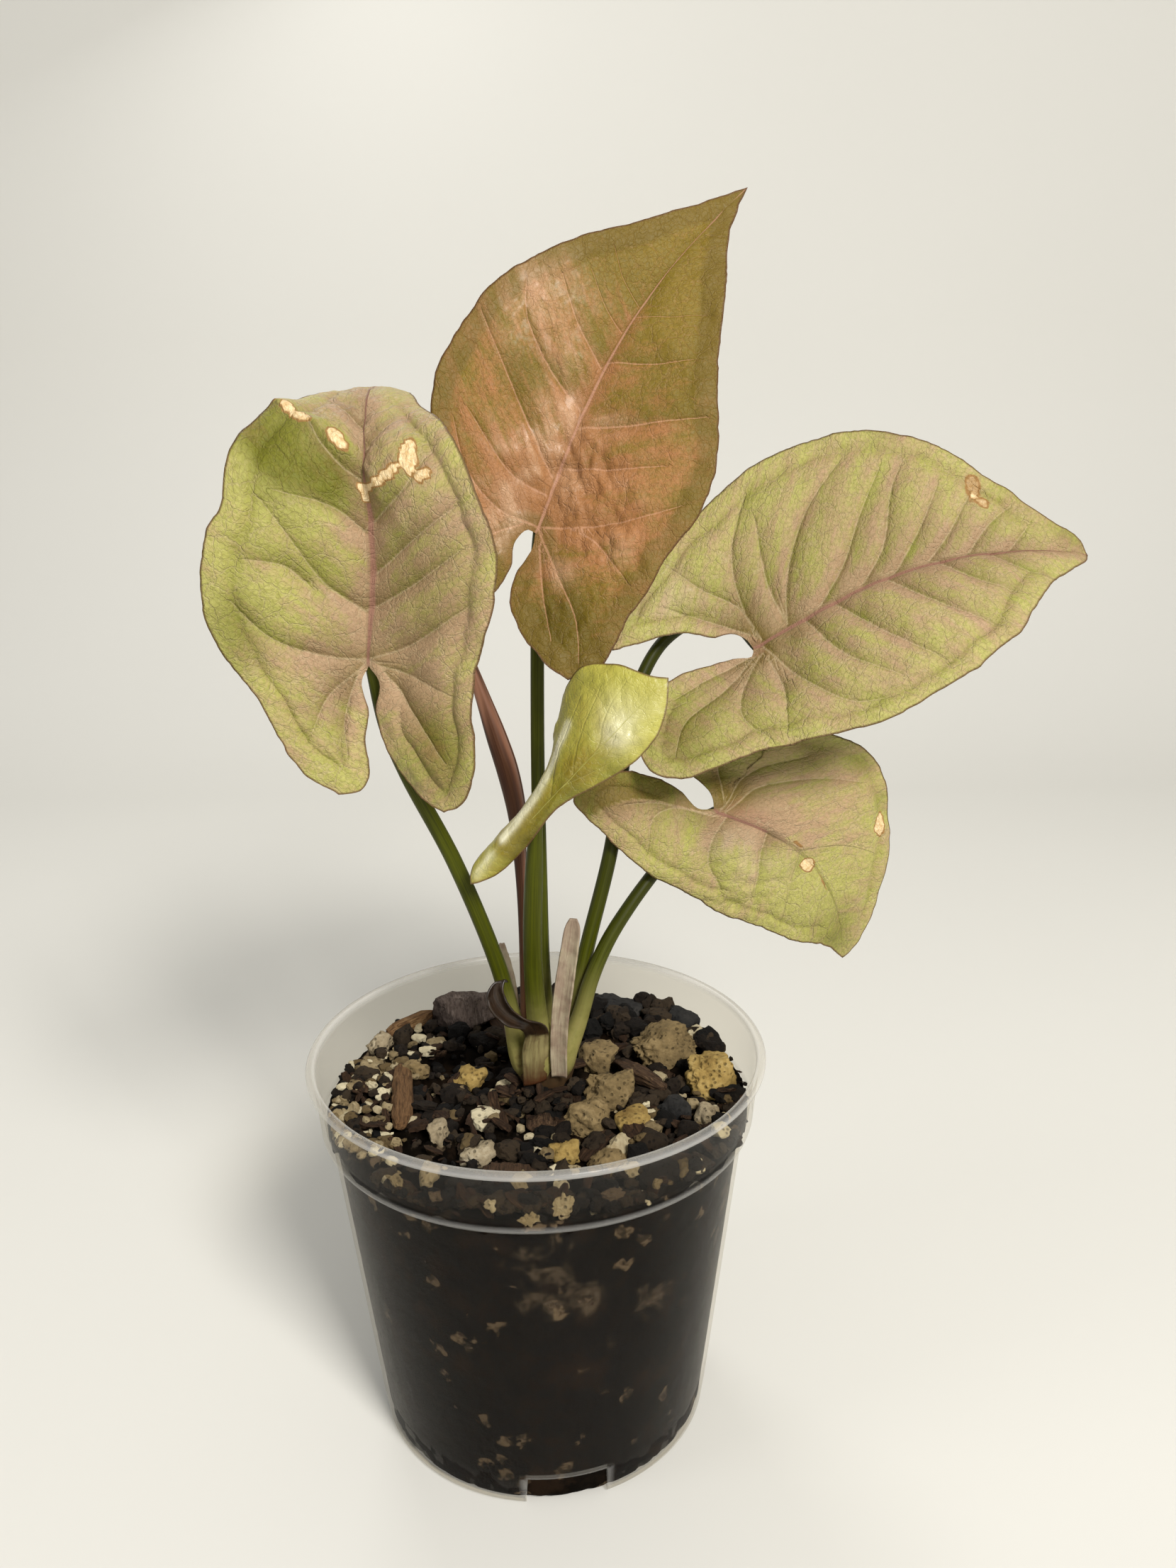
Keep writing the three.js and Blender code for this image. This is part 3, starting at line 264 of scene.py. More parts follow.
# dark, middle and pale tone of each stone and bark, and pale, stain and streak of each sheath
TONES = {
    "dark_crumbs": ((0.004, 0.0035, 0.003), (0.011, 0.0075, 0.005), (0.032, 0.022, 0.013)),
    "bark_bits": ((0.013, 0.007, 0.004), (0.036, 0.019, 0.010), (0.095, 0.054, 0.028)),
    "pale_grit": ((0.09, 0.062, 0.028), (0.24, 0.185, 0.10), (0.52, 0.46, 0.31)),
    "caked_grit": ((0.03, 0.02, 0.012), (0.075, 0.052, 0.032), (0.16, 0.12, 0.08)),
    "tan_pumice": ((0.085, 0.06, 0.028), (0.19, 0.135, 0.062), (0.36, 0.27, 0.14)),
    "gold_pumice": ((0.14, 0.085, 0.025), (0.32, 0.22, 0.070), (0.52, 0.40, 0.18)),
    "white_pumice": ((0.13, 0.10, 0.06), (0.29, 0.235, 0.15), (0.56, 0.50, 0.37)),
    "charcoal": ((0.008, 0.008, 0.008), (0.022, 0.021, 0.02), (0.06, 0.056, 0.05)),
    "bark": ((0.020, 0.012, 0.007), (0.064, 0.036, 0.020), (0.16, 0.10, 0.055)),
    "mauve_bark": ((0.05, 0.036, 0.03), (0.125, 0.095, 0.08), (0.25, 0.20, 0.17)),
    "rusty_bark": ((0.05, 0.026, 0.012), (0.15, 0.08, 0.035), (0.30, 0.19, 0.09)),
    "pale_sheath": ((0.33, 0.275, 0.185), (0.24, 0.175, 0.12), (0.16, 0.095, 0.065)),
    "dry_sheath": ((0.011, 0.0055, 0.0025), (0.026, 0.013, 0.005), (0.006, 0.003, 0.002)),
}
# name, place in metres, size, watts, the place it shines at and its tint
LAMPS = [("key", (0.5, -0.92, 0.98), 0.34, 22.0, (0, 0, 0.15), (1.0, 0.97, 0.92)),
         ("front", (0.5, -1.05, 0.36), 0.4, 2.0, (0, 0, 0.16), (1, 1, 1)),
         ("side", (-0.9, -0.35, 0.42), 0.35, 1.6, (0, 0, 0.14), (1, 1, 1)),
         ("back", (-0.25, 0.62, 0.75), 0.3, 1.6, (0, 0, 0.15), (1, 1, 1))]
# place, lens and sensor in millimetres, angles in degrees, and clip_start in metres
CAMERA = {"at": (11.91, -238.61, 215.15), "pitch": 15.892, "roll": -0.698, "lens": 27.5, "sensor_height": 36,
          "clip_start": 0.02}

# ------------------------------------------------------------------ curves and meshes


def catmull(points, per_span=16):
    """Smooth curve through points (any number of columns), spaced by the square root of each chord."""
    p = np.array(points, float)
    p = np.vstack([2 * p[0] - p[1], p, 2 * p[-1] - p[-2]])
    out = []
    t = np.linspace(0, 1, per_span, endpoint=False)[:, None]
    for a, b, c, d in zip(p[:-3], p[1:-2], p[2:-1], p[3:]):
        k = [max(np.linalg.norm(y[:3] - x[:3]), 1e-6) ** 0.5 for x, y in ((a, b), (b, c), (c, d))]
        m1 = k[1] * ((b - a) / k[0] - (c - a) / (k[0] + k[1]) + (c - b) / k[1])
        m2 = k[1] * ((c - b) / k[1] - (d - b) / (k[1] + k[2]) + (d - c) / k[2])
        out.append((2 * t**3 - 3 * t**2 + 1) * b + (t**3 - 2 * t**2 + t) * m1
                   + (3 * t**2 - 2 * t**3) * c + (t**3 - t**2) * m2)
    return np.vstack(out + [p[-2][None]])


def spaced(curve, count):
    """count + 1 points evenly spaced by length along a curve."""
    step = np.linalg.norm(np.diff(curve[:, :3], axis=0), axis=1)
    s = np.concatenate([[0], np.cumsum(step)])
    at = np.linspace(0, s[-1], count + 1)
    return np.stack([np.interp(at, s, curve[:, k]) for k in range(curve.shape[1])], 1)


def unit(v):
    v = np.asarray(v, float)
    return v / np.linalg.norm(v, axis=-1, keepdims=True)


def new_piece(name, points, faces, layers=None, material=None, smooth=True):
    """A mesh object from points in millimetres. layers maps a name to one value or vector a point."""
    mesh = bpy.data.meshes.new(name)
    mesh.from_pydata((np.asarray(points) * MM).tolist(), [], [list(map(int, f)) for f in faces])
    for key, values in (layers or {}).items():
        values = np.asarray(values, np.float32)
        kind, field = ("FLOAT_VECTOR", "vector") if values.ndim == 2 else ("FLOAT", "value")
        mesh.attributes.new(key, kind, "POINT").data.foreach_set(field, values.ravel())
    mesh.polygons.foreach_set("use_smooth", [smooth] * len(mesh.polygons))
    mesh.update()
    obj = bpy.data.objects.new(name, mesh)
    bpy.context.scene.collection.objects.link(obj)
    if material:
        mesh.materials.append(material)
    return obj


def dress(obj, slot, *nodes):
    """Declares a piece: it stands for these solids. slot is not used."""
    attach(obj, "root")
    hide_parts(*nodes)


def point_normals(points, triangles):
    normal = np.zeros_like(points)
    a, b, c = (points[triangles[:, k]] for k in range(3))
    face = np.cross(b - a, c - a)
    for k in range(3):
        np.add.at(normal, triangles[:, k], face)
    return unit(normal + 1e-12)


def plate(points, triangles, thickness):
    """Points and faces of a thin sheet: both sides, the lower one's points second, and the rim."""
    normal = point_normals(points, triangles)
    half = normal * (np.asarray(thickness).reshape(-1, 1) / 2)
    count = len(points)
    edges = np.vstack([triangles[:, [0, 1]], triangles[:, [1, 2]], triangles[:, [2, 0]]])
    there = set(map(tuple, edges.tolist()))
    rim = [(a, b) for a, b in there if (b, a) not in there]
    faces = triangles.tolist() + (triangles[:, ::-1] + count).tolist()
    faces += [(b, a, a + count, b + count) for a, b in rim]
    return np.vstack([points + half, points - half]), faces


def tube(stations, sides=20, step=1.2, squash=1.0, shape=None):
    """A closed tube with points, faces, and each point's place: along in millimetres, round in turns."""
    curve = catmull(stations)
    count = max(8, int(np.linalg.norm(np.diff(curve[:, :3], axis=0), axis=1).sum() / step))
    curve = spaced(curve, count)
    tangent = unit(np.gradient(curve[:, :3], axis=0))
    back = unit(np.array([0, 1.0, 0]) - tangent * tangent[:, 1:2])
    side = np.cross(back, tangent)
    turn = np.arange(sides) * 2 * math.pi / sides
    radius = curve[:, 3:4] * np.ones((1, sides))
    if shape:
        radius = radius * shape(np.arange(count + 1)[:, None] / count, turn[None, :])
    points = (curve[:, None, :3] + side[:, None] * (radius * np.cos(turn))[..., None]
              + back[:, None] * (radius * np.sin(turn) * squash)[..., None]).reshape(-1, 3)
    faces = [(i * sides + j, i * sides + (j + 1) % sides, (i + 1) * sides + (j + 1) % sides,
              (i + 1) * sides + j)
             for i in range(count) for j in range(sides)]
    faces += [list(range(sides))[::-1], list(range(count * sides, (count + 1) * sides))]
    along = np.repeat(np.arange(count + 1) * step, sides)
    place = np.stack([along, np.tile(turn / (2 * math.pi), count + 1), np.zeros_like(along)], 1)
    return points, faces, place


def join(parts):
    """One set of points and faces from several, and any further columns stacked."""
    points, faces, rest, start = [], [], [], 0
    for p, f, *more in parts:
        points.append(p)
        faces += [[i + start for i in face] for face in f]
        rest.append(more)
        start += len(p)
    return [np.vstack(points), faces] + [np.concatenate(column) for column in zip(*rest)]


def rough(points, scale, octaves=4, seed=0.0):
    """Smooth noise about 0 at points (mm), one value a point."""
    offset = Vector((seed * 7.31, seed * 3.7, seed * 1.93))
    places = np.asarray(points).tolist()
    return np.array([noise.fractal(Vector(p) * scale + offset, 1.0, 2.1, octaves) for p in places])


def fade(x, low, high):
    """0 below low, 1 above high, smooth between."""
    t = np.clip((x - low) / (high - low), 0, 1)
    return t * t * (3 - 2 * t)


# ------------------------------------------------------------------ leaf blades


def blade_surface(leaf):
    """The function that turns flat (u, v) points into places in space, in millimetres."""
    toward = unit(leaf["toward"])
    face = np.array(leaf["face"], float)
    face = unit(face - toward * face.dot(toward))
    across = np.cross(toward, face)
    rows = np.array(leaf["form"], float)
    reach = 120
    us = np.arange(-reach, reach + 1)
    bend = np.radians(np.interp(us, rows[:, 0], rows[:, 1]))
    mean = (bend[1:] + bend[:-1]) / 2
    x = np.concatenate([[0], np.cumsum(np.cos(mean))])
    z = np.concatenate([[0], np.cumsum(np.sin(mean))])
    x, z = x - x[reach], z - z[reach]

    def surface(flat):
        u, v = flat[:, 0], flat[:, 1]
        tilt = np.radians(np.interp(u, rows[:, 0], rows[:, 1]))
        left = v < 0
        by_left, curl_left, by_right, curl_right = (np.interp(u, rows[:, 0], rows[:, k]) for k in range(2, 6))
        fold = np.radians(np.where(left, by_left, by_right))
        curl = np.radians(np.where(left, curl_left, curl_right))
        curl = np.where(np.abs(curl) < 1e-6, 1e-6, curl)
        out = np.abs(v)
        aside = (np.sin(fold + curl * out) - np.sin(fold)) / curl
        up = (np.cos(fold) - np.cos(fold + curl * out)) / curl
        sway = leaf["sway"] * np.sin(math.pi * np.clip(u / leaf["length"], 0, 1))
        return (np.array(leaf["seat"], float)
                + (np.interp(u, us, x) - np.sin(tilt) * up)[:, None] * toward
                + (np.interp(u, us, z) + np.cos(tilt) * up)[:, None] * face
                + (np.sign(v) * aside + sway)[:, None] * across)

    return surface


VEIN = 0.34  # where a lobe's vein lies, from its inner margin towards its outer one


def ragged(edges, depth=0.3):
    """A margin with small uneven nicks and waves, still at its two ends."""
    held = fade(np.arange(len(edges)), 0, 12) * fade(np.arange(len(edges))[::-1], 0, 10)
    shake = [rough(np.column_stack([edges, np.zeros(len(edges))]), 0.3, 4, seed) for seed in (1, 2)]
    return edges + depth * held[:, None] * np.stack(shake, 1)


def half_blade(margin, main, lobe, across):
    """Flat points of one half in rows from the rib to the margin, and the margin itself."""
    margin = np.array(margin, float)
    tip_of_lobe = int(margin[:, 0].argmin())
    level = int(np.argmax(margin[:, 0] < 5))
    edge = spaced(catmull(margin[:level + 1]), main)
    root = np.stack([margin[0, 0] * (1 - np.arange(main + 1) / main), np.zeros(main + 1)], 1)
    outer = spaced(catmull(margin[level:tip_of_lobe + 1]), lobe)
    inner = spaced(catmull(margin[tip_of_lobe:]), lobe)[::-1]
    share = VEIN * np.minimum(1, np.arange(lobe + 1) * 3 / lobe)[:, None]
    vein = inner + (outer - inner) * share
    vein[:, 0] *= np.minimum(1, 0.3 + np.arange(lobe + 1) / 8)
    vein[0] = 0
    roots = np.vstack([root, vein[1:], vein[-2::-1]])
    edges = ragged(np.vstack([edge, outer[1:], inner[-2::-1]]))
    t = np.linspace(0, 1, across + 1)[None, :, None]
    return roots[:, None] * (1 - t) + edges[:, None] * t, edges


def rolled_half(margin, length, count, across):
    """The same for the young leaf, which has no notch at its seat."""
    edges = ragged(spaced(catmull(margin), count), 0.12)
    root = np.stack([np.linspace(length, edges[-1, 0], count + 1), np.zeros(count + 1)], 1)
    t = np.linspace(0, 1, across + 1)[None, :, None]
    return root[:, None] * (1 - t) + edges[:, None] * t, edges


def nearest_on(flat, line):
    """Distance of flat points to a line, the share along it, and the side, from -1 to 1 round its ends."""
    a, b = line[:-1], line[1:]
    step = b - a
    rel = flat[:, None] - a[None]
    t = np.clip((rel * step).sum(2) / (step**2).sum(1), 0, 1)
    gap = rel - t[..., None] * step
    far = np.linalg.norm(gap, axis=2)
    k = far.argmin(1)
    i = np.arange(len(flat))
    cross = step[k, 0] * gap[i, k, 1] - step[k, 1] * gap[i, k, 0]
    side = cross / (np.linalg.norm(step[k], axis=1) * far[i, k] + 1e-9)
    return far[i, k], (k + t[i, k]) / len(step), side


def vein_layers(leaf, flat, side, faint):
    """Values of one half (side -1 or 1, v turned positive): distance to the nearest side vein, the same with
    a sign that changes across it, how high the blade stands between the veins (0 to 1), the bank below each
    vein, where painted light and pink go, and the painted shade in the trough above it."""
    veins = leaf["left_veins" if side < 0 else "right_veins"]
    count = len(flat)
    near, line = np.full(count, 99.0), np.full(count, 9.0)
    pillow, bank, trough = np.ones(count), np.zeros(count), np.zeros(count)
    for vein in veins:
        far, share, turned = nearest_on(flat, spaced(catmull(vein), 16))
        strength = (1 - 0.75 * share) * (1 - 0.8 * fade(vein[0][0], *faint))
        pillow *= 1 - 0.9 * strength * np.exp(-far / (3.2 - 1.1 * turned))
        bank = np.maximum(bank, strength * np.exp(-((far / 2.6) ** 2)) * (0.5 + 0.5 * turned))
        trough = np.maximum(trough, strength * np.exp(-far / 2.6) * np.clip(-turned, 0, 1))
        closer = far < near
        near = np.where(closer, far, near)
        line = np.where(closer, far * np.where(turned < 0, -1, 1) / (0.1 + 0.9 * strength), line)
    return near, line, pillow, bank, trough


def blade_mesh(leaf, main=110, lobe=38, across=42, rolled=False):
    """Flat points and triangles of a whole blade, and the margins of its two halves."""
    flats, quads, start, edges = [], [], 0, []
    for side, margin in ((-1, leaf["left"]), (1, leaf["right"])):
        if rolled:
            grid, edge = rolled_half(margin, leaf["length"], main, across)
        else:
            grid, edge = half_blade(margin, main, lobe, across)
        rows, columns = grid.shape[:2]
        flats.append(grid.reshape(-1, 2) * (1, side))
        index = np.arange(rows * columns).reshape(rows, columns) + start
        a, b, c, d = index[:-1, :-1], index[1:, :-1], index[1:, 1:], index[:-1, 1:]
        order = (a, b, c, d) if side > 0 else (d, c, b, a)
        quads.append(np.stack(order, -1).reshape(-1, 4))
        edges.append(edge * (1, side))
        start += rows * columns
    flat = np.vstack(flats)
    rounded = np.round(flat, 3) + 0.0
    _, first, inverse = np.unique(rounded, axis=0, return_index=True, return_inverse=True)
    inverse = inverse.ravel()
    flat = flat[first]
    quads = inverse[np.vstack(quads)]
    triangles = np.vstack([quads[:, [0, 1, 2]], quads[:, [0, 2, 3]]])
    whole = (triangles != np.roll(triangles, 1, axis=1)).all(axis=1)
    return flat, triangles[whole], edges


def leaf_layers(leaf, flat, edges, look):
    """Every value that the shader reads, one a flat point."""
    layers = {key: np.zeros(len(flat)) for key in ("near", "line", "pillow", "bank", "trough")}
    for side in (-1, 1):
        own = flat[:, 1] * side >= 0
        faint = look.get("faint", (200, 201))
        for key, values in zip(layers, vein_layers(leaf, flat[own] * (1, side), side, faint)):
            layers[key][own] = values
    layers["rim"] = np.minimum(*(nearest_on(flat, edge)[0] for edge in edges))
    layers["rib"] = np.where(flat[:, 0] > -1.2, np.abs(flat[:, 1]), np.hypot(flat[:, 0] + 1.2, flat[:, 1]))
    if "rib" in look:
        layers["rib"] += 4 * fade(flat[:, 0], *look["rib"])
    layers["flat"] = np.column_stack([flat, np.zeros(len(flat))])
    u, out = flat[:, 0], np.abs(flat[:, 1])
    layers["grain"] = np.column_stack([0.8 * u - 0.6 * out, 0.2 * (0.6 * u + 0.8 * out),
                                       7.0 * np.sign(flat[:, 1])])
    return layers


def patches(flat, places, seed):
    """How dry each point is: 1, or the amount given, inside each place, and ragged at its edge."""
    dry = np.zeros(len(flat))
    wobble = rough(np.column_stack([flat, np.full(len(flat), seed)]), 0.35, 3)
    for u, v, a, b, turn, *amount in places:
        c, s = math.cos(math.radians(turn)), math.sin(math.radians(turn))
        x, y = flat[:, 0] - u, flat[:, 1] - v
        far = np.hypot((c * x + s * y) / a, (c * y - s * x) / b) + 0.55 * wobble
        dry = np.maximum(dry, (amount[0] if amount else 1) * (1 - fade(far, 0.8, 1.35)))
    return dry


# quilt: how high the blade stands between its veins; wave: slow unevenness; crease: how far in the line along
# the margin runs; ridges: lines that stand up, with their height, the width on either side, and the tone and
# reach of the shade painted beside them; drops: lines beyond which the blade falls away, with the fall and its
# width; dry: cream patches (u, v, half sizes, turn in degrees, and the amount if it isn't 1); blush, deep,
# gloss and crumple: soft round spots (u, v, reach, amount) of pink, of a deeper tone or
# painted shade, of shine (gloss and a painted sheen) and of crumpling; calm: where the relief dies down;
# faint: where the side veins grow faint; rib: where the pink of the midrib ends; sheen_lines: shining lines
# (gloss and a painted highlight), with their reach and amount; trough: how dark the painted shade
# beside the veins and beyond the ridges is
LEAF_LOOKS = {
    "top": {"slot": "bronze_leaf", "quilt": 0.9, "wave": 0.8, "crease": 4.6, "faint": (24, 44), "trough": 0.3,
            "blush": [(10, 6, 20, 0.8), (4, -8, 14, 0.5), (36, -16, 12, 0.5), (72, 0, 36, -1.6),
                      (46, 16, 16, -0.5), (-16, 14, 14, -0.9), (45, -26, 14, -0.2), (24, -14, 8, -0.5)],
            "deep": [(34, 12, 16, 0.30), (-14, 14, 12, 0.7), (24, -14, 8, 0.35), (50, -8, 14, 0.25),
                     (62, 3, 12, 0.15)],
            # The shining spots and lines below are painted as sheen in the colour, besides being glossier.
            "gloss": [(37.5, -15.5, 10, 0.6), (40, -19, 7, 0.3), (31, -19, 8, 0.3), (30, -5.5, 6, 0.5),
                      (19, -4.5, 7, 0.8), (13, -6, 5, 0.7), (10, 3, 5, 0.6), (22.4, 5.5, 4, 0.5),
                      (2, -7, 5, 0.7), (-4, -7.4, 5, 0.9), (-8, -6.5, 4, 0.8), (4, 17, 4, 0.5),
                      (-5, 9, 4, 0.5), (10, -14, 5, 0.3)],
            "crumple": [(12, 4, 14, 1.5), (30, -12, 14, 0.6), (4, 16, 10, 1.0), (-12, 14, 10, 0.6)],
            "sheen_lines": [([(24, -3), (15, -1.6)], 1.6, 0.6), ([(14, -7), (8, -13)], 1.2, 0.7),
                        ([(9, -4.5), (3, -9)], 1.2, 0.8), ([(24, 3), (27, 11)], 1.0, 0.45),
                        ([(15, 12), (14, 18)], 1.4, 0.35), ([(-2, 5), (-8, 9)], 1.2, 0.35),
                        ([(0, -5), (-9, -7)], 1.6, 1.0), ([(2, -13), (-2, -19)], 1.2, 0.6)]},
    "left": {"slot": "pink_green_leaf", "quilt": 3.2, "wave": 0.5, "crease": 4.2, "calm": 41,
             # The first ridge is the crease. Its tone paints shade in the hollow below it.
             "ridges": [([(46, -21), (42.8, -16), (39, -9.8), (36, -3.8), (33, 1)], 3.7, 2.4, 6.0, 1.0, 10),
                        ([(60, 0), (50, 0), (39, 0)], 2.4, 7.0, 7.0, 0, 1),
                        ([(40, -22), (35, -17), (32, -10), (30, -4)], -1.6, 3.5, 3.5, 0, 1),
                        ([(31, 0), (32.5, 6), (35, 10)], 0.9, 2.4, 5.0, 0.25, 3.0)],
             "dry": [(43.4, -16.4, 0.9, 1.6, 30), (41.2, -13.0, 0.7, 1.3, 30), (39.4, -10.4, 0.6, 1.5, 24),
                     (36.6, -4.3, 1.0, 1.8, 35), (30.2, 0.2, 0.7, 1.6, 0), (31.4, 4.2, 0.6, 4.6, -20),
                     (34.0, 9.2, 2.3, 1.2, 0), (31.6, 11.4, 0.8, 1.5, -10), (29.0, -0.3, 1.3, 0.6, 0)],
             "blush": [(0, 12, 26, 0.35), (25, 12, 26, 0.3), (0, -8, 12, 0.6), (-3, 8, 12, 0.5),
                       (12, -20, 16, -0.4), (30, -14, 14, -0.6), (44, -4, 9, 0.5), (44, 8, 8, 0.2)],
             # deep: the first two spots are painted shade in the hollow under the crease
             "deep": [(33, -15, 8, 0.62), (31.5, -6, 5, 0.5), (14, 12, 14, 0.36), (34, 4, 5, 0.25),
                      (-14, 13, 11, 0.78), (-22, 15, 8, 0.4), (4, -22, 7, 0.5), (10, -24, 6, 0.5),
                      (20, -20, 5, 0.25)],
             "crumple": [(34, 0, 10, 0.7), (-14, -8, 8, 0.5), (41, -8, 8, 0.5), (51, -3, 9, 1.4)]},
    "right": {"slot": "pink_green_leaf", "quilt": 3.0, "wave": 0.5, "crease": 4.4,
              "dry": [(53.2, -14.2, 1.4, 2.8, 10, 0.56), (54.2, -11.0, 1.5, 1.3, 30, 0.6),
                      (52.8, -12.6, 0.7, 0.9, 0)],
              "blush": [(0, 0, 14, 0.7), (20, -2, 26, 0.2), (40, 4, 30, 0.2), (25, -26, 16, 0.1),
                        (0, 0, 5, 0.9)],
              "deep": [(-22, 15, 12, 0.66), (0, 0, 6, 0.5), (8, 2, 6, 0.5), (24, -16, 22, 0.2),
                       (72, -4, 8, 0.5), (62, -14, 6, 0.3), (40, -31, 6, 0.3), (0, -8, 7, 0.35)],
              "gloss": [(-14, -16, 9, 0.4)],
              "crumple": [(57, -11, 6, 0.5), (30, 20, 12, 0.4)]},
    "lower": {"slot": "pink_green_leaf", "quilt": 2.2, "wave": 0.5, "crease": 3.6, "rib": (12, 20),
              "faint": (14, 24),
              # The second ridge is the lobe's fold. Its tone paints shade over the lobe beyond it.
              "ridges": [([(0, 0), (14, -1), (30, -1), (42, 0)], 1.4, 4.5, 4.5, 0, 1),
                         ([(-3, 2.5), (-7, 4.5), (-12, 7.5), (-17, 11.5), (-19.5, 17), (-20, 26)], 0.5, 1.5,
                          1.5, 1.0, 9)],
              "drops": [([(0, -0.5), (4, -7), (9, -13), (15, -17), (24, -21), (34, -19)], -2.2, 3.0),
                        ([(-0.5, 1.5), (-7, 4.5), (-12, 7.5), (-17, 11.5), (-19.5, 17), (-20, 26)], 2.2,
                         3.2)],
              "dry": [(26.4, 0.8, 1.7, 1.6, 0), (34.6, -18.6, 1.9, 1.4, 30),
                      (20, -1.4, 1.8, 0.45, 10, 0.45), (33, 0.6, 3, 0.3, 5, 0.3)],
              "blush": [(4, -1, 10, 1.3), (14, -2, 8, 0.8), (3, -1.5, 5, 0.9), (9, -1.5, 5, 0.7),
                        (-18, 14, 9, 0.9), (18, -10, 16, 0.5), (10, 12, 14, -0.1), (34, 8, 18, -0.5)],
              # deep: the first four spots are the right leaf's painted shadow on the far half; the next three
              # are painted shade on the lobe
              "deep": [(-2, -18, 7, 0.6), (9, -22, 7, 0.58), (20, -25, 6, 0.5), (30, -23, 5, 0.3),
                       (-14, 5, 5, 0.5), (-20, 9, 8, 0.7), (-23, 15, 8, 0.7), (2, -6, 7, 0.4),
                       (-4, -8, 6, 0.4), (24, 3, 3, 0.3), (47, 2, 10, 0.7), (12, -10, 13, 0.16)],
              "gloss": [(8, 6, 6, 0.5), (16, 9, 6, 0.4), (22, 5, 5, 0.35)],
              "crumple": [(20, 14, 14, 0.6)]},
    "young": {"slot": "young_leaf", "faint": (-30, -29), "quilt": 0.14, "wave": 0.25, "crease": 3.0,
              "ridges": [([(-4, 1.5), (4, 0.8), (11, -1), (18, -3)], 0.7, 1.6, 0.9, 0, 1)],
              "blush": [(-6, 0, 8, 1.0), (-4, 0, 6, 0.4)],
              # deep: mostly painted shade on the fold that turns away at the lower right and on the tail
              "deep": [(-4, 4, 7, 1.0), (8, 3, 5, 0.8), (-10, 3, 6, 0.6), (16, 5.5, 5, 0.8), (2, 4, 6, 0.8),
                       (-2, -6, 4, 0.3), (24, -14, 4, 0.3), (10, -3, 5, 0.25)],
              # A painted highlight patch, and a painted highlight line along the roll, besides the gloss.
              "gloss": [(25.5, -1, 6, 1.0), (22, 1, 4, 0.5), (31, 2, 3, 0.3)],
              "sheen_lines": [([(16, -8.4), (12, -6.8), (8, -5), (4.5, -3.4), (0, -2.4), (-3, -2), (-8, -1.6)],
                           0.9, 2.0),
                          ([(-12, -1), (-17, -0.3)], 1.0, 0.6)],
              "crumple": [(20, 2, 9, 0.5), (26, -6, 9, 0.5), (8, -3, 8, 0.35)]},
}


def spots(flat, places):
    """Sum of soft round spots (u, v, reach, amount)."""
    total = np.zeros(len(flat))
    for u, v, reach, amount in places:
        total += amount * np.exp(-((flat[:, 0] - u) ** 2 + (flat[:, 1] - v) ** 2) / (0.5 * reach**2))
    return total


def relief(leaf, look, flat, layers):
    """How far each point stands off the smooth blade, in millimetres."""
    level = np.column_stack([flat, np.zeros(len(flat))])
    seed = leaf["length"]
    slow, quick = rough(level, 0.10, 2, seed), rough(level, 0.38, 3, seed + 3)
    rim = layers["rim"]
    u, out = flat[:, 0], np.abs(flat[:, 1])
    ribbed = 1 - 0.75 * np.exp(-layers["rib"] / 2.4) * fade(u, -4, 3) * (1 - 0.5 * fade(u, 30, 75))
    turned_in = 1 - 0.5 * np.exp(-np.abs(rim - look["crease"] - 1.2 * slow) / 1.5) * fade(out, 3, 8)
    pillow = layers["pillow"] * ribbed * turned_in
    layers["pillow"] = pillow
    by_seat = 0.2 + 0.8 * fade(np.hypot(*flat.T), 2, 11)
    height = look["quilt"] * (pillow - 0.6) * (0.25 + 0.75 * fade(rim, 0.3, 4.5)) * by_seat
    height += look["wave"] * (slow + 0.25 * quick) * (0.3 + 0.7 * fade(rim, 0, 3))
    height += 0.55 * rough(level, 0.16, 3, seed + 5) * (1 - fade(rim, 0, 6))
    height += spots(flat, look["crumple"]) * rough(level, 0.34, 4, seed + 9)
    calm = look.get("calm", 200)
    height *= 1 - 0.6 * fade(u, calm, calm + 6)
    for line, rise, below, above, tone, reach in look.get("ridges", ()):
        far, share, turned = nearest_on(flat, spaced(catmull(line), 20))
        width = (below + above) / 2 - turned * (above - below) / 2
        height += rise * (1 - 0.6 * share) * (0.3 + 0.7 * fade(share, 0, 0.3)) * np.exp(-far / width)
        # Painted shade on the far side of each ridge, kept together with the painted shade by the veins.
        shade = tone * fade(turned, 0.1, 0.6) * (1 - fade(far, 0.7 * reach, 1.15 * reach))
        shade *= 1 - 0.3 * share
        layers["trough"] = np.maximum(layers["trough"], shade)
    for line, fall, width in look.get("drops", ()):
        far, share, turned = nearest_on(flat, spaced(catmull(line), 24))
        beyond = np.clip(turned * np.sign(fall), 0, 1)
        height -= abs(fall) * beyond * (1 - np.exp(-far / width)) * fade(np.hypot(*flat.T), 1, 9)
    return height


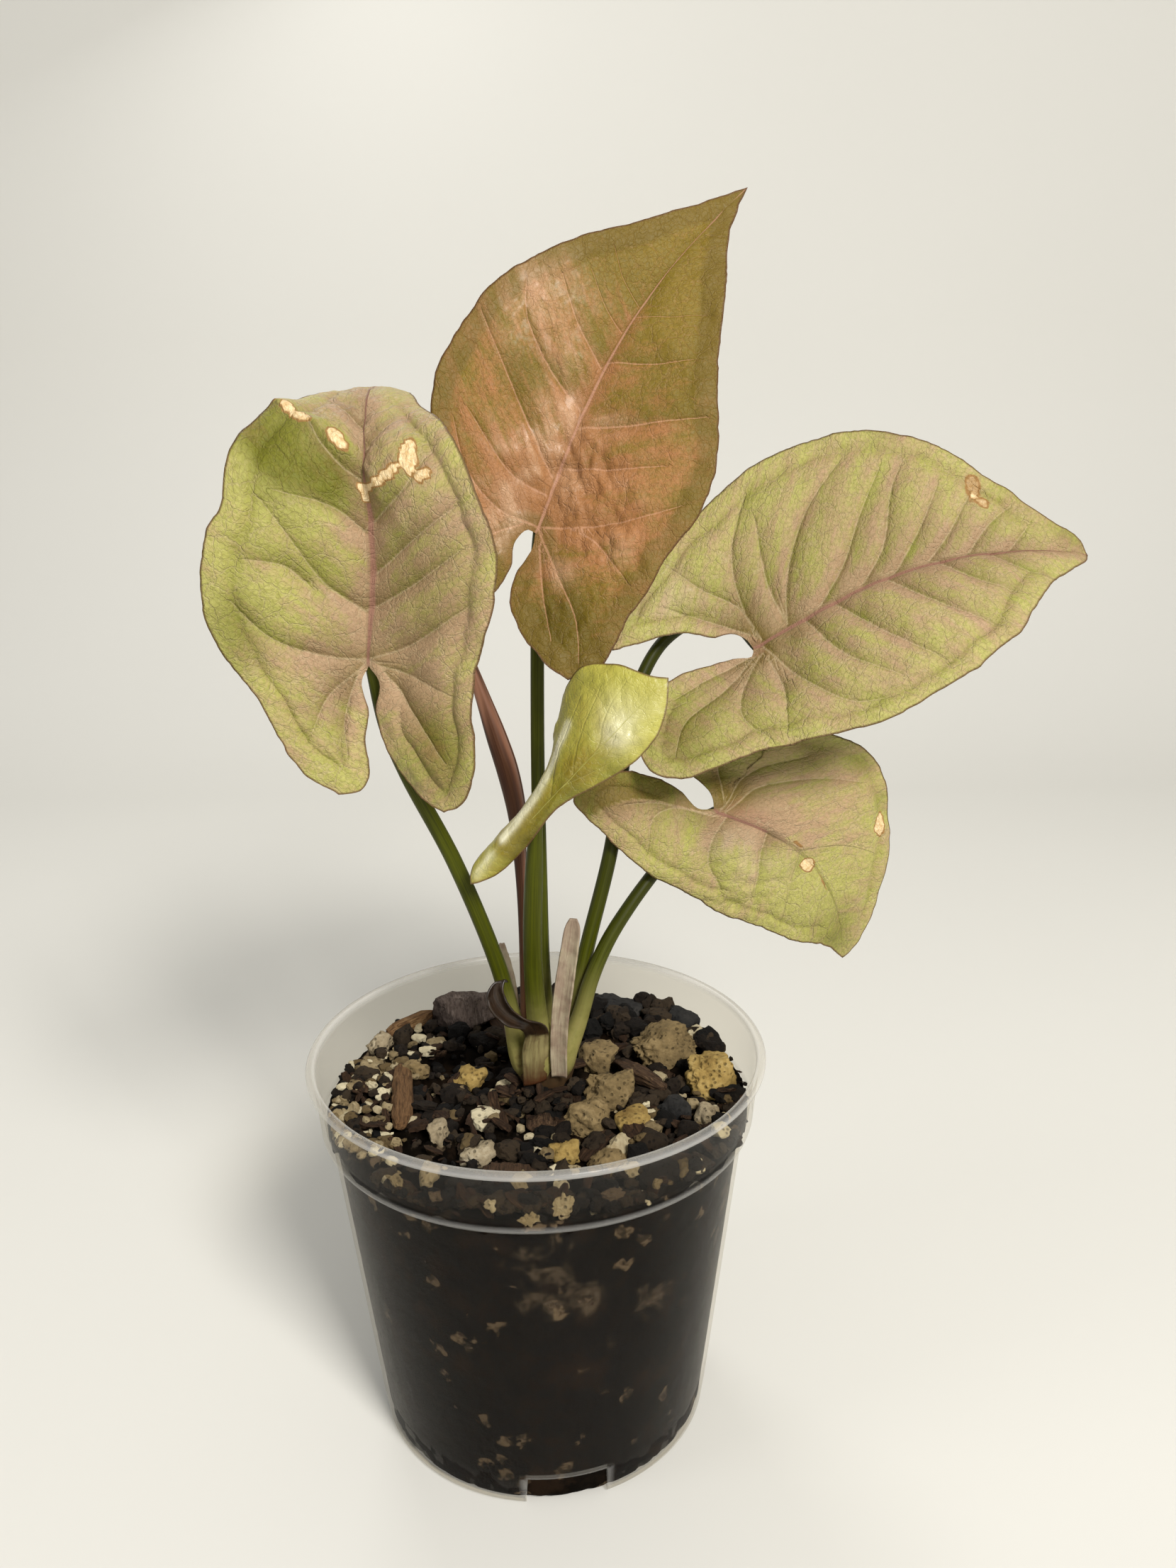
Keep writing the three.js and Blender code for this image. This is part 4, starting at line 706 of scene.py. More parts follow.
def make_blade(name, leaf, material):
    """One blade with its relief, as a thin plate."""
    look = dict(LEAF_LOOKS[name])
    look["quilt"] *= sizes().quilting
    thickness = sizes().blade_thickness / MM
    flat, triangles, edges = blade_mesh(leaf, rolled=name == "young")
    layers = leaf_layers(leaf, flat, edges, look)
    surface = blade_surface(leaf)
    points = surface(flat)
    along, aside = (surface(flat + step) - surface(flat - step) for step in ((0.05, 0), (0, 0.05)))
    normal = unit(np.cross(aside, along))
    if (point_normals(points, triangles) * normal).sum(1).mean() < 0:
        triangles = triangles[:, ::-1]
    points = points + normal * relief(leaf, look, flat, layers)[:, None]
    solid, faces = plate(points, triangles, thickness * (0.55 + 0.45 * fade(layers["rim"], 0, 1.2)))
    # The bank below each vein is painted pinker here. The shader also paints it lighter, as painted light.
    layers["blush"] = spots(flat, look["blush"]) + 0.6 * layers["bank"]
    # deep: painted shade by the veins and beyond the ridges, with spots of a deeper tone and of painted shade
    layers["deep"] = np.clip(look.get("trough", 0.75) * layers.pop("trough") + spots(flat, look["deep"]), 0,
                             1)
    # Shining spots and lines: glossier, and also painted as sheen in the colour.
    layers["gloss"] = spots(flat, look.get("gloss", ()))
    for line, reach, amount in look.get("sheen_lines", ()):
        far, share, _ = nearest_on(flat, spaced(catmull(line), 16))
        layers["gloss"] += amount * (1 - 0.4 * share) * np.exp(-((far / reach) ** 2))
    layers["gloss"] = np.clip(layers["gloss"], 0, 1)
    layers["rim"] += 0.6 * np.exp(-((np.hypot(*flat.T) / 6) ** 2)) * (name != "young")
    layers["dry"] = patches(flat, look.get("dry", ()), 3.0 + len(name))
    layers["under"] = np.zeros(len(flat))
    both = {key: np.concatenate([value, value]) for key, value in layers.items()}
    both["under"][len(flat):] = 1
    dress(new_piece("blade_" + name + "_fine", solid, faces, both, material), look["slot"], "blade_" + name)


# ------------------------------------------------------------------ finishes


class Finish:
    """A node material with one Principled shader, and short ways to add nodes to it."""

    def __init__(self, name, **sockets):
        self.material = bpy.data.materials.new(name)
        self.material.use_nodes = True
        self.tree = self.material.node_tree
        self.shader = self.tree.nodes["Principled BSDF"]
        self.set(self.shader, sockets)

    def set(self, node, sockets):
        for key, value in sockets.items():
            socket = node.inputs[key if isinstance(key, int) else key.replace("_", " ")]
            if isinstance(value, bpy.types.NodeSocket):
                self.tree.links.new(value, socket)
            else:
                socket.default_value = value

    def node(self, kind, out=0, options=None, **sockets):
        node = self.tree.nodes.new(kind)
        for key, value in (options or {}).items():
            setattr(node, key, value)
        self.set(node, sockets)
        return node.outputs[out]

    def layer(self, name, vector=False):
        return self.node("ShaderNodeAttribute", "Vector" if vector else "Fac", {"attribute_name": name})

    def place(self):
        return self.node("ShaderNodeTexCoord", "Object")

    def part(self, vector, axis):
        """x, y or z (0, 1 or 2) of a place."""
        return self.node("ShaderNodeSeparateXYZ", axis, Vector=vector)

    def scaled(self, vector, x, y, z):
        return self.node("ShaderNodeMapping", Vector=vector, Scale=(x, y, z))

    def noise(self, vector, scale, detail=4, roughness=0.55, **more):
        return self.node("ShaderNodeTexNoise", "Fac", Vector=vector, Scale=scale, Detail=detail,
                         Roughness=roughness, **more)

    def cells(self, vector, scale, feature="F1", out="Distance"):
        return self.node("ShaderNodeTexVoronoi", out, {"feature": feature}, Vector=vector, Scale=scale)

    def bent(self, vector, scale, amount):
        """The same place, pushed about by noise."""
        push = self.node("ShaderNodeTexNoise", "Color", Vector=vector, Scale=scale, Detail=3)
        node = self.tree.nodes.new("ShaderNodeVectorMath")
        node.operation = "MULTIPLY_ADD"
        self.set(node, {0: push, 1: (amount, amount, amount), 2: vector})
        return node.outputs[0]

    def math(self, operation, a, b=0.0, clamp=False):
        node = self.tree.nodes.new("ShaderNodeMath")
        node.operation = operation
        node.use_clamp = clamp
        self.set(node, {0: a, 1: b})
        return node.outputs[0]

    def plus(self, a, b, clamp=False):
        return self.math("ADD", a, b, clamp)

    def less(self, a, b):
        return self.math("SUBTRACT", a, b)

    def times(self, a, b):
        return self.math("MULTIPLY", a, b)

    def spread(self, value, low, high, to_low=0.0, to_high=1.0):
        """value from low..high to to_low..to_high, smooth at both ends."""
        node = self.tree.nodes.new("ShaderNodeMapRange")
        node.interpolation_type = "SMOOTHSTEP"
        self.set(node, {0: value, 1: low, 2: high, 3: to_low, 4: to_high})
        return node.outputs[0]

    def swing(self, value, amount):
        """A noise about 0, so many times as strong."""
        return self.times(self.less(value, 0.5), amount)

    def mix(self, factor, a, b, blend="MIX"):
        node = self.tree.nodes.new("ShaderNodeMix")
        node.data_type = "RGBA"
        node.blend_type = blend
        first, second = ((*c, 1) if isinstance(c, tuple) else c for c in (a, b))
        self.set(node, {0: factor, 6: first, 7: second})
        return node.outputs[2]

    def bump(self, height, strength, distance):
        return self.node("ShaderNodeBump", Height=height, Strength=strength, Distance=distance)


def toned(tone, *by):
    """A colour times one number, or one number a channel."""
    return tuple(c * k for c, k in zip(tone, by * 3 if len(by) == 1 else by))


def leaf_fields(f):
    """The noises and stored values that a leaf's skin is mixed from."""
    flat, along = f.layer("flat", True), f.layer("grain", True)
    stored = ("rib", "near", "rim", "pillow", "bank", "under", "dry", "gloss", "blush", "deep")
    n = SimpleNamespace(**{key: f.layer(key) for key in stored})
    n.u = f.part(flat, 0)
    n.off_line = f.math("ABSOLUTE", f.layer("line"))
    n.cloud = f.noise(flat, 0.13, 4, 0.6)
    n.speck = f.noise(flat, 1.3, 5, 0.7)
    n.wrinkle = f.noise(along, 1.5, 5, 0.62, Distortion=0.25)
    n.streak = f.noise(along, 0.42, 4, 0.55, Distortion=0.3)
    n.fine_net = f.spread(f.cells(f.bent(flat, 0.9, 1.4), 0.85, "DISTANCE_TO_EDGE"), 0.0, 0.12, 1.0, 0.0)
    n.veinlet = f.spread(f.cells(f.bent(flat, 0.35, 3.6), 0.24, "DISTANCE_TO_EDGE"), 0.0, 0.05, 1.0, 0.0)
    return n


def leaf_ground(f, n, green, wash, vein, lean):
    """Green and wash, paler where light is painted on the pillows between the veins and on the banks below
    them, and pink where the blade blushes most.
    """
    patchy = f.plus(f.plus(f.swing(n.cloud, 1.8), f.swing(n.streak, 2.2)), f.swing(n.speck, 1.4))
    by_rib = f.spread(n.rib, 0.3, 4.5, 0.55, 0.0)
    washed = f.plus(f.plus(n.blush, by_rib), f.plus(patchy, lean), clamp=True)
    colour = f.mix(washed, green, wash)
    # Painted light: the tops of the pillows and the banks below the veins are painted paler and creamier.
    lit_tops = f.plus(f.spread(n.pillow, 0.35, 0.95), f.times(n.bank, 0.5), clamp=True)
    paler = f.mix(washed, toned(green, 1.42, 1.36, 2.0), toned(wash, 1.3))
    colour = f.mix(f.times(lit_tops, f.spread(n.speck, 0.3, 0.7, 0.2, 0.8)), colour, paler)
    return f.mix(f.spread(n.blush, 1.1, 2.6, 0.0, 0.6), colour, toned(vein, 1.4))


def leaf_net(f, n, colour, line_tint, net):
    """The fine net, cracks, deep spots (a deeper tone and painted shade) and specks over a leaf's colour."""
    meshes = f.plus(f.times(n.fine_net, 0.5), n.veinlet, clamp=True)
    colour = f.mix(f.times(meshes, 0.8 * net), colour, line_tint)
    crack = f.spread(f.math("ABSOLUTE", f.less(n.wrinkle, 0.5)), 0.0, 0.035, 1.0, 0.0)
    colour = f.mix(f.times(crack, net), colour, (0.62, 0.57, 0.5), "MULTIPLY")
    # Painted shade and deeper tone: the deep values darken the colour towards olive.
    colour = f.mix(f.times(n.deep, 0.95), colour, (0.36, 0.38, 0.10), "MULTIPLY")
    return f.mix(f.spread(n.speck, 0.25, 0.75, 0.35, 0.0), colour, (0.6, 0.6, 0.55), "MULTIPLY")


def leaf_ageing(f, n, colour, green):
    """The paler underside, dry patches with a brown rim, and the thin dark margin."""
    pale = f.mix(f.spread(n.speck, 0.3, 0.7), toned(green, 0.75), toned(green, 1.05))
    colour = f.mix(f.times(n.under, 0.6), colour, pale)
    colour = f.mix(f.spread(n.dry, 0.1, 0.34), colour, (0.27, 0.145, 0.045))
    cream = f.mix(f.spread(n.speck, 0.3, 0.7), (0.80, 0.64, 0.39), (0.50, 0.32, 0.13))
    colour = f.mix(f.spread(n.dry, 0.45, 0.75), colour, cream)
    return f.mix(f.spread(n.rim, 0.1, 0.5, 0.85, 0.0), colour, (0.09, 0.04, 0.016))


def leaf_height(f, n):
    """Fine wrinkles along the side veins, with the net and the veins sunk in."""
    height = f.plus(f.times(n.wrinkle, 0.7), f.times(n.speck, 0.4))
    height = f.less(height, f.times(f.plus(n.fine_net, f.times(n.veinlet, 1.6)), 0.22))
    valley = f.times(f.spread(n.off_line, 0.0, 1.4, 1.0, 0.0), f.spread(n.near, 1.6, 2.6, 1.0, 0.0))
    return f.plus(f.less(height, f.times(valley, 0.6)), f.times(n.streak, 1.2))


def leaf_finish(name, green, wash, vein, line_tint, shine, lean, roughness, net, coat=0.0, band=None,
                vein_share=0.35, rib_width=1.0, plump=None, depth=0.7, glaze=0.3):
    """Leaf skin: green washed with pink along the ribs and where the blade blushes, a fine wrinkled net, dry
    patches, a thin dark margin, and painted light, shade and sheen. lean is how much wash lies all over, net
    how strong the net is, band (colour, share) a strip along the margin, plump the tone of a swollen tip,
    depth how strong the fine relief is, shine the colour of the painted sheen on the shining spots, and glaze
    how wet the shining spots look."""
    f = Finish(name, Coat_Roughness=0.22, Specular_IOR_Level=0.22)
    n = leaf_fields(f)
    colour = leaf_net(f, n, leaf_ground(f, n, green, wash, vein, lean), line_tint, net)
    if band:
        wave = f.plus(n.rim, f.swing(n.cloud, 4.0))
        colour = f.mix(f.spread(wave, 3.4, 5.0, band[1], 0.0), colour, band[0])
    side_vein = f.times(f.spread(n.off_line, 0.08, 0.36, 1.0, 0.0), f.spread(n.near, 0.7, 1.3, 1.0, 0.0))
    colour = f.mix(f.times(side_vein, vein_share), colour, line_tint)
    # Painted sheen: the shining spots and lines are painted towards the shine colour, broken up by the grain.
    broken = f.spread(f.plus(n.streak, f.times(n.wrinkle, 0.5)), 0.55, 0.9, 0.7 if plump else 0.1, 1.0)
    colour = f.mix(f.times(f.times(n.gloss, broken), 0.75 if plump else 0.45), colour, shine)
    taper = f.spread(n.u, 10.0, 70.0, 0.75 * rib_width, 0.3 * rib_width)
    midrib = f.spread(f.math("DIVIDE", n.rib, taper), 0.35, 1.1, 0.85, 0.0)
    colour = f.mix(f.times(midrib, f.spread(n.u, -2.5, 0.0)), colour, vein)
    if plump:
        swollen = f.spread(f.plus(n.u, f.swing(n.cloud, 14.0)), 17.0, 30.0, 0.0, 0.6)
        colour = f.mix(swollen, colour, plump)
    dull = f.spread(n.speck, 0.2, 0.8, roughness - 0.05, roughness + 0.12)
    f.set(f.shader, {"Base Color": leaf_ageing(f, n, colour, green),
                     "Roughness": f.less(dull, f.times(n.gloss, 0.2)),
                     "Coat Weight": f.plus(f.times(n.gloss, glaze), coat, clamp=True),
                     "Normal": f.bump(leaf_height(f, n), depth, 0.0005)})
    return f.material


def stalk_finish(name, dark, light, foot_tint, roughness=0.42, wrap=None):
    """Smooth stalk with fine lines along it, paler at its foot and darker in the shade of the leaves. wrap is
    the colour of every other turn of a rolled leaf."""
    f = Finish(name, Specular_IOR_Level=0.14)
    place = f.layer("place", True)
    lines = f.noise(f.scaled(place, 0.04, 26, 1), 1.0, 3, 0.6)
    mottled = f.noise(f.place(), 160, 4, 0.6)
    x, z = (f.part(f.place(), axis) for axis in (0, 2))
    colour = f.mix(f.spread(lines, 0.3, 0.7), dark, light)
    colour = f.mix(f.times(f.spread(mottled, 0.45, 0.75), 0.35), colour, light)
    if wrap:
        turns = f.noise(f.scaled(place, 0.02, 2.4, 1), 1.0, 2, 0.4)
        colour = f.mix(f.spread(turns, 0.44, 0.56), colour, wrap)
    shade = f.times(f.spread(x, 0.010, 0.018), f.spread(z, 0.105, 0.125, 0.0, 0.7))
    colour = f.mix(shade, colour, toned(dark, 0.5))
    foot = f.times(f.spread(z, 0.085, 0.110, 1.0, 0.0), f.spread(mottled, 0.25, 0.6, 0.5, 1.0))
    colour = f.mix(f.times(foot, 0.85), colour, foot_tint)
    streak = f.times(f.spread(z, 0.084, 0.098, 1.0, 0.0), f.spread(mottled, 0.45, 0.62, 0.0, 0.8))
    colour = f.mix(streak, colour, (0.085, 0.042, 0.015))
    colour = f.mix(f.spread(z, 0.080, 0.086, 0.7, 0.0), colour, (0.05, 0.028, 0.012))
    f.set(f.shader, {"Base Color": colour,
                     "Roughness": f.spread(mottled, 0.2, 0.8, roughness - 0.06, roughness + 0.1),
                     "Normal": f.bump(lines, 0.3, 0.0002)})
    return f.material


def stone_finish(name, pit=0.7, by_bit=False):
    """Pitted, dusty stone, with painted shade in its pits. by_bit shifts the colour from one small bit to the
    next.
    """
    dark, mid, pale = TONES[name]
    f = Finish(name, Specular_IOR_Level=0.15)
    where = f.place()
    cloud = f.noise(where, 180, 5, 0.6)
    grain = f.noise(where, 900, 5, 0.7)
    tone = f.plus(f.times(cloud, 0.6), f.times(grain, 0.4))
    if by_bit:
        tone = f.plus(f.times(tone, 0.5), f.times(f.layer("kind"), 0.55))
    colour = f.mix(f.spread(tone, 0.3, 0.55), dark, mid)
    colour = f.mix(f.spread(tone, 0.5, 0.78), colour, pale)
    hole = f.spread(f.cells(where, 700), 0.12, 0.34, 1.0, 0.0)
    # Painted shade: the pits are darkened.
    colour = f.mix(f.times(hole, 0.6), colour, toned(dark, 0.35))
    height = f.less(f.times(grain, 0.8), f.times(hole, pit))
    f.set(f.shader, {"Base Color": colour, "Roughness": 0.92, "Normal": f.bump(height, 0.8, 0.0006)})
    return f.material


def bark_finish(name):
    """Fibrous bark, striped along its length."""
    dark, mid, pale = TONES[name]
    f = Finish(name, Specular_IOR_Level=0.15)
    fibre = f.noise(f.scaled(f.layer("place", True), 2.2, 0.25, 2.2), 1.0, 5, 0.65)
    cloud = f.noise(f.place(), 220, 4, 0.6)
    colour = f.mix(f.spread(fibre, 0.3, 0.6), dark, mid)
    colour = f.mix(f.times(f.spread(f.plus(fibre, cloud), 1.05, 1.4), 0.8), colour, pale)
    f.set(f.shader, {"Base Color": colour, "Roughness": 0.85, "Normal": f.bump(fibre, 0.9, 0.0008)})
    return f.material


def mix_finish(name, tint):
    """Moist black crumbs, caked with dust in places, with specks of pale grit."""
    f = Finish(name, Specular_IOR_Level=0.02)
    where = f.place()
    crumb = f.noise(where, 360, 4, 0.6)
    clod = f.noise(where, 90, 4, 0.6)
    smear = f.noise(where, 130, 5, 0.65, Distortion=0.8)
    shaken = f.bent(where, 500, 0.006)
    pick = f.node("ShaderNodeSeparateColor", 0, Color=f.cells(shaken, 240, out="Color"))
    edge = f.cells(shaken, 240)
    colour = f.mix(f.spread(crumb, 0.35, 0.7), toned(tint, 0.35), tint)
    colour = f.mix(f.times(f.spread(clod, 0.5, 0.7), 0.5), colour, (0.020, 0.011, 0.006))
    caked = f.spread(f.plus(f.times(f.layer("cake"), 0.5), smear), 0.84, 1.06, 0.0, 0.6)
    dust = f.mix(f.spread(crumb, 0.35, 0.65), (0.03, 0.02, 0.012), (0.13, 0.10, 0.068))
    colour = f.mix(caked, colour, dust)
    grit = f.times(f.spread(pick, 0.9, 0.94), f.spread(edge, 0.3, 0.5, 1.0, 0.0))
    grit = f.times(grit, f.spread(crumb, 0.4, 0.55, 0.2, 1.0))
    colour = f.mix(f.times(grit, 0.5), colour, (0.20, 0.145, 0.09))
    f.set(f.shader, {"Base Color": colour, "Roughness": f.spread(crumb, 0.3, 0.7, 0.6, 0.95),
                     "Normal": f.bump(f.plus(crumb, clod), 0.35, 0.0008)})
    return f.material


def sheath_finish(name, roughness=0.6, foot=None):
    """Papery sheath, stained in patches, with veins along it. foot is the colour of its lower part."""
    pale, stain, streak = TONES[name]
    f = Finish(name)
    place = f.layer("place", True)
    lines = f.noise(f.scaled(place, 0.12, 3.2, 1), 1.0, 4, 0.6)
    cloud = f.noise(f.place(), 260, 4, 0.6)
    colour = f.mix(f.spread(cloud, 0.35, 0.65), pale, stain)
    colour = f.mix(f.times(f.spread(lines, 0.5, 0.7), 0.6), colour, streak)
    if foot:
        along = f.plus(f.part(place, 0), f.times(cloud, 5.0))
        low = f.mix(f.spread(along, 3.0, 9.5), foot, (0.27, 0.23, 0.10))
        low = f.mix(f.spread(lines, 0.4, 0.7, 0.0, 0.6), low, foot)
        colour = f.mix(f.spread(along, 12.5, 14.5), low, colour)
    f.set(f.shader, {"Base Color": colour, "Roughness": roughness, "Normal": f.bump(lines, 0.6, 0.0004)})
    return f.material


def plastic_finish(name, tint, haze):
    """Clear, slightly hazy plastic, whiter at glancing edges, with painted highlight lines along the lip and
    the ledge.
    """
    f = Finish(name, Specular_IOR_Level=0.5, Roughness=0.35)
    where = f.place()
    cloud = f.noise(f.scaled(where, 1, 1, 0.35), 55, 4, 0.6)
    scuff = f.noise(f.scaled(where, 1, 1, 0.12), 300, 3, 0.6)
    glance = f.math("POWER", f.node("ShaderNodeLayerWeight", "Facing", Blend=0.5), 5.0)
    milky = f.plus(f.times(glance, 0.09), f.spread(cloud, 0.3, 0.75, haze * 0.6, haze * 1.6))
    # Painted highlights: the lines along the lip, ledge, foot and notches are made milky white.
    milky = f.plus(milky, f.times(f.layer("edge"), 0.34), clamp=True)
    ripple = f.bump(scuff, 0.1, 0.0002)
    f.set(f.shader, {"Base Color": f.mix(f.spread(cloud, 0.35, 0.7), tint, toned(tint, 0.88)),
                     "Normal": ripple})
    clear = f.node("ShaderNodeBsdfTransparent", Color=(0.91, 0.895, 0.86, 1))
    body = f.node("ShaderNodeMixShader", 0, None, Fac=milky)
    shine = f.node("ShaderNodeBsdfGlossy", 0, None, Roughness=0.12, Color=(1, 1, 1, 1), Normal=ripple)
    surface = f.node("ShaderNodeMixShader", 0, None, Fac=f.plus(f.times(glance, 0.16), 0.004))
    for mixed, first, second in ((body, clear, f.shader.outputs[0]), (surface, body, shine)):
        f.tree.links.new(first, mixed.node.inputs[1])
        f.tree.links.new(second, mixed.node.inputs[2])
    f.tree.links.new(surface, f.tree.nodes["Material Output"].inputs["Surface"])
    return f.material


# ------------------------------------------------------------------ stones, bark and crumbs

_balls = {}


def ball(level):
    """Points and triangles of a unit icosphere."""
    if level not in _balls:
        mesh = bmesh.new()
        bmesh.ops.create_icosphere(mesh, subdivisions=level, radius=1)
        mesh.verts.ensure_lookup_table()
        points = np.array([v.co[:] for v in mesh.verts])
        _balls[level] = points, [[v.index for v in face.verts] for face in mesh.faces]
        mesh.free()
    return _balls[level]


def chip(half, seed, level, planes=6, jag=0.35, fibre=0.0, knobs=0.0, fill=0.7):
    """A lump that fills a box of these half sizes: flat breaks, then rough skin, knobs or fibres."""
    points, faces = ball(level)
    points = points.copy()
    draw = random.Random(seed)
    for _ in range(planes):
        n = unit([draw.gauss(0, 1) for _ in range(3)])
        beyond = points @ n - draw.uniform(0.62, 0.9)
        points -= np.maximum(beyond, 0)[:, None] * n
    size = np.array(half, float)
    grow = 1 + jag * np.clip(rough(points * size, 0.9 / max(size.min(), 1), 4, seed), -1, 0.7)
    if knobs:
        step = 2.6 / size.min()
        shift = Vector((seed, 2.3 * seed, 1.7))
        near = [noise.voronoi(Vector(p) * step + shift)[0][0] for p in (points * size / size.max()).tolist()]
        grow += knobs * (0.45 - np.array(near)) + 0.35 * knobs * rough(points * size, 1.1, 3, seed + 2)
    points *= grow[:, None]
    if fibre:
        stripes = rough(points * size * (1.6, 0.12, 1.6), 1.0, 3, seed + 5)
        points[:, [0, 2]] *= (1 + fibre * stripes)[:, None]
    points /= np.percentile(np.abs(points), 95 if fill else 100, axis=0)
    over = np.maximum(np.abs(points) - 0.94, 0)
    points -= np.sign(points) * fill * over
    return points * size, faces


def turned(points, turn, tilt=0):
    """Points tilted about X and then turned about Z, in degrees."""
    spin = Matrix.Rotation(math.radians(turn), 3, "Z") @ Matrix.Rotation(math.radians(tilt), 3, "X")
    return points @ np.array(spin).T


def mix_height(x, y):
    wave = np.sin(x * 0.31 + 1.3) * np.cos(y * 0.27 + 0.4) + 0.5 * np.sin(x * 0.11 - y * 0.52)
    return MIX["level"] + MIX["roughness"] * wave + MIX["back_rise"] * np.clip(y, -20, 40) / 40


def on_stone(x, y):
    """Whether a loose bit at x, y would cover one of the big stones."""
    for (cx, cy, _), (a, b, _), turn, _ in sum(STONES.values(), []):
        t = math.radians(turn)
        along = (x - cx) * math.cos(t) + (y - cy) * math.sin(t)
        aside = (y - cy) * math.cos(t) - (x - cx) * math.sin(t)
        if (along / a) ** 2 + (aside / b) ** 2 < 0.9:
            return True
    return False


def wall_radius(z):
    return POT["base"] + (POT["wall_top"] - POT["base"]) * z / POT["collar_height"]


def mix_body():
    """Points and faces of the mix: its crumbly top, and its side just inside the wall."""
    around, rings = 200, 64
    turn = np.arange(around) * 2 * math.pi / around
    edge = POT["collar_foot"] - POT["wall"] - 0.45
    rows = []
    for k in range(rings + 1):
        radius = edge * k / rings if k else 0.01
        x, y = radius * np.cos(turn), radius * np.sin(turn)
        rows.append(np.column_stack([x, y, mix_height(x, y)]))
    top = np.vstack(rows)
    top[:, 2] += 1.6 * rough(top, 0.32, 5) - 0.9 - 1.0 * fade(np.hypot(top[:, 0], top[:, 1]), 44, 46)
    below = [(edge, 75.6), (wall_radius(71) - 1.05, 72.4)]
    below += [(wall_radius(z) - 0.84, z) for z in np.linspace(70, 2.0, 60)]
    below += [(wall_radius(1) - 1.3, 1.1), (0.01, 1.0)]
    side = np.vstack([np.column_stack([r * np.cos(turn), r * np.sin(turn), np.full(around, z)]) for r,
                      z in below])
    radius = np.hypot(side[:, 0], side[:, 1])
    inward = np.where(radius > 20, np.maximum(0.6 * rough(side, 0.35, 5, 2), 0), 0)
    side[:, :2] *= ((radius - inward) / radius)[:, None]
    count = rings + 1 + len(below)
    faces = [(i * around + j, (i + 1) * around + j, (i + 1) * around + (j + 1) % around,
              i * around + (j + 1) % around) for i in range(count - 1) for j in range(around)]
    return np.vstack([top, side]), faces


def caked(points):
    """How caked with dust the mix is at each point: most round the dim lumps at the wall."""
    cake = np.zeros(len(points))
    for bearing, z, wide, tall, kind in WALL_LUMPS:
        if kind == "dim":
            at = turned(np.array([[wall_radius(z), 0, z]]), bearing)
            far = np.linalg.norm(points - at, axis=1) / (2.2 * max(wide, tall))
            cake = np.maximum(cake, np.exp(-(far**2)))
    return cake


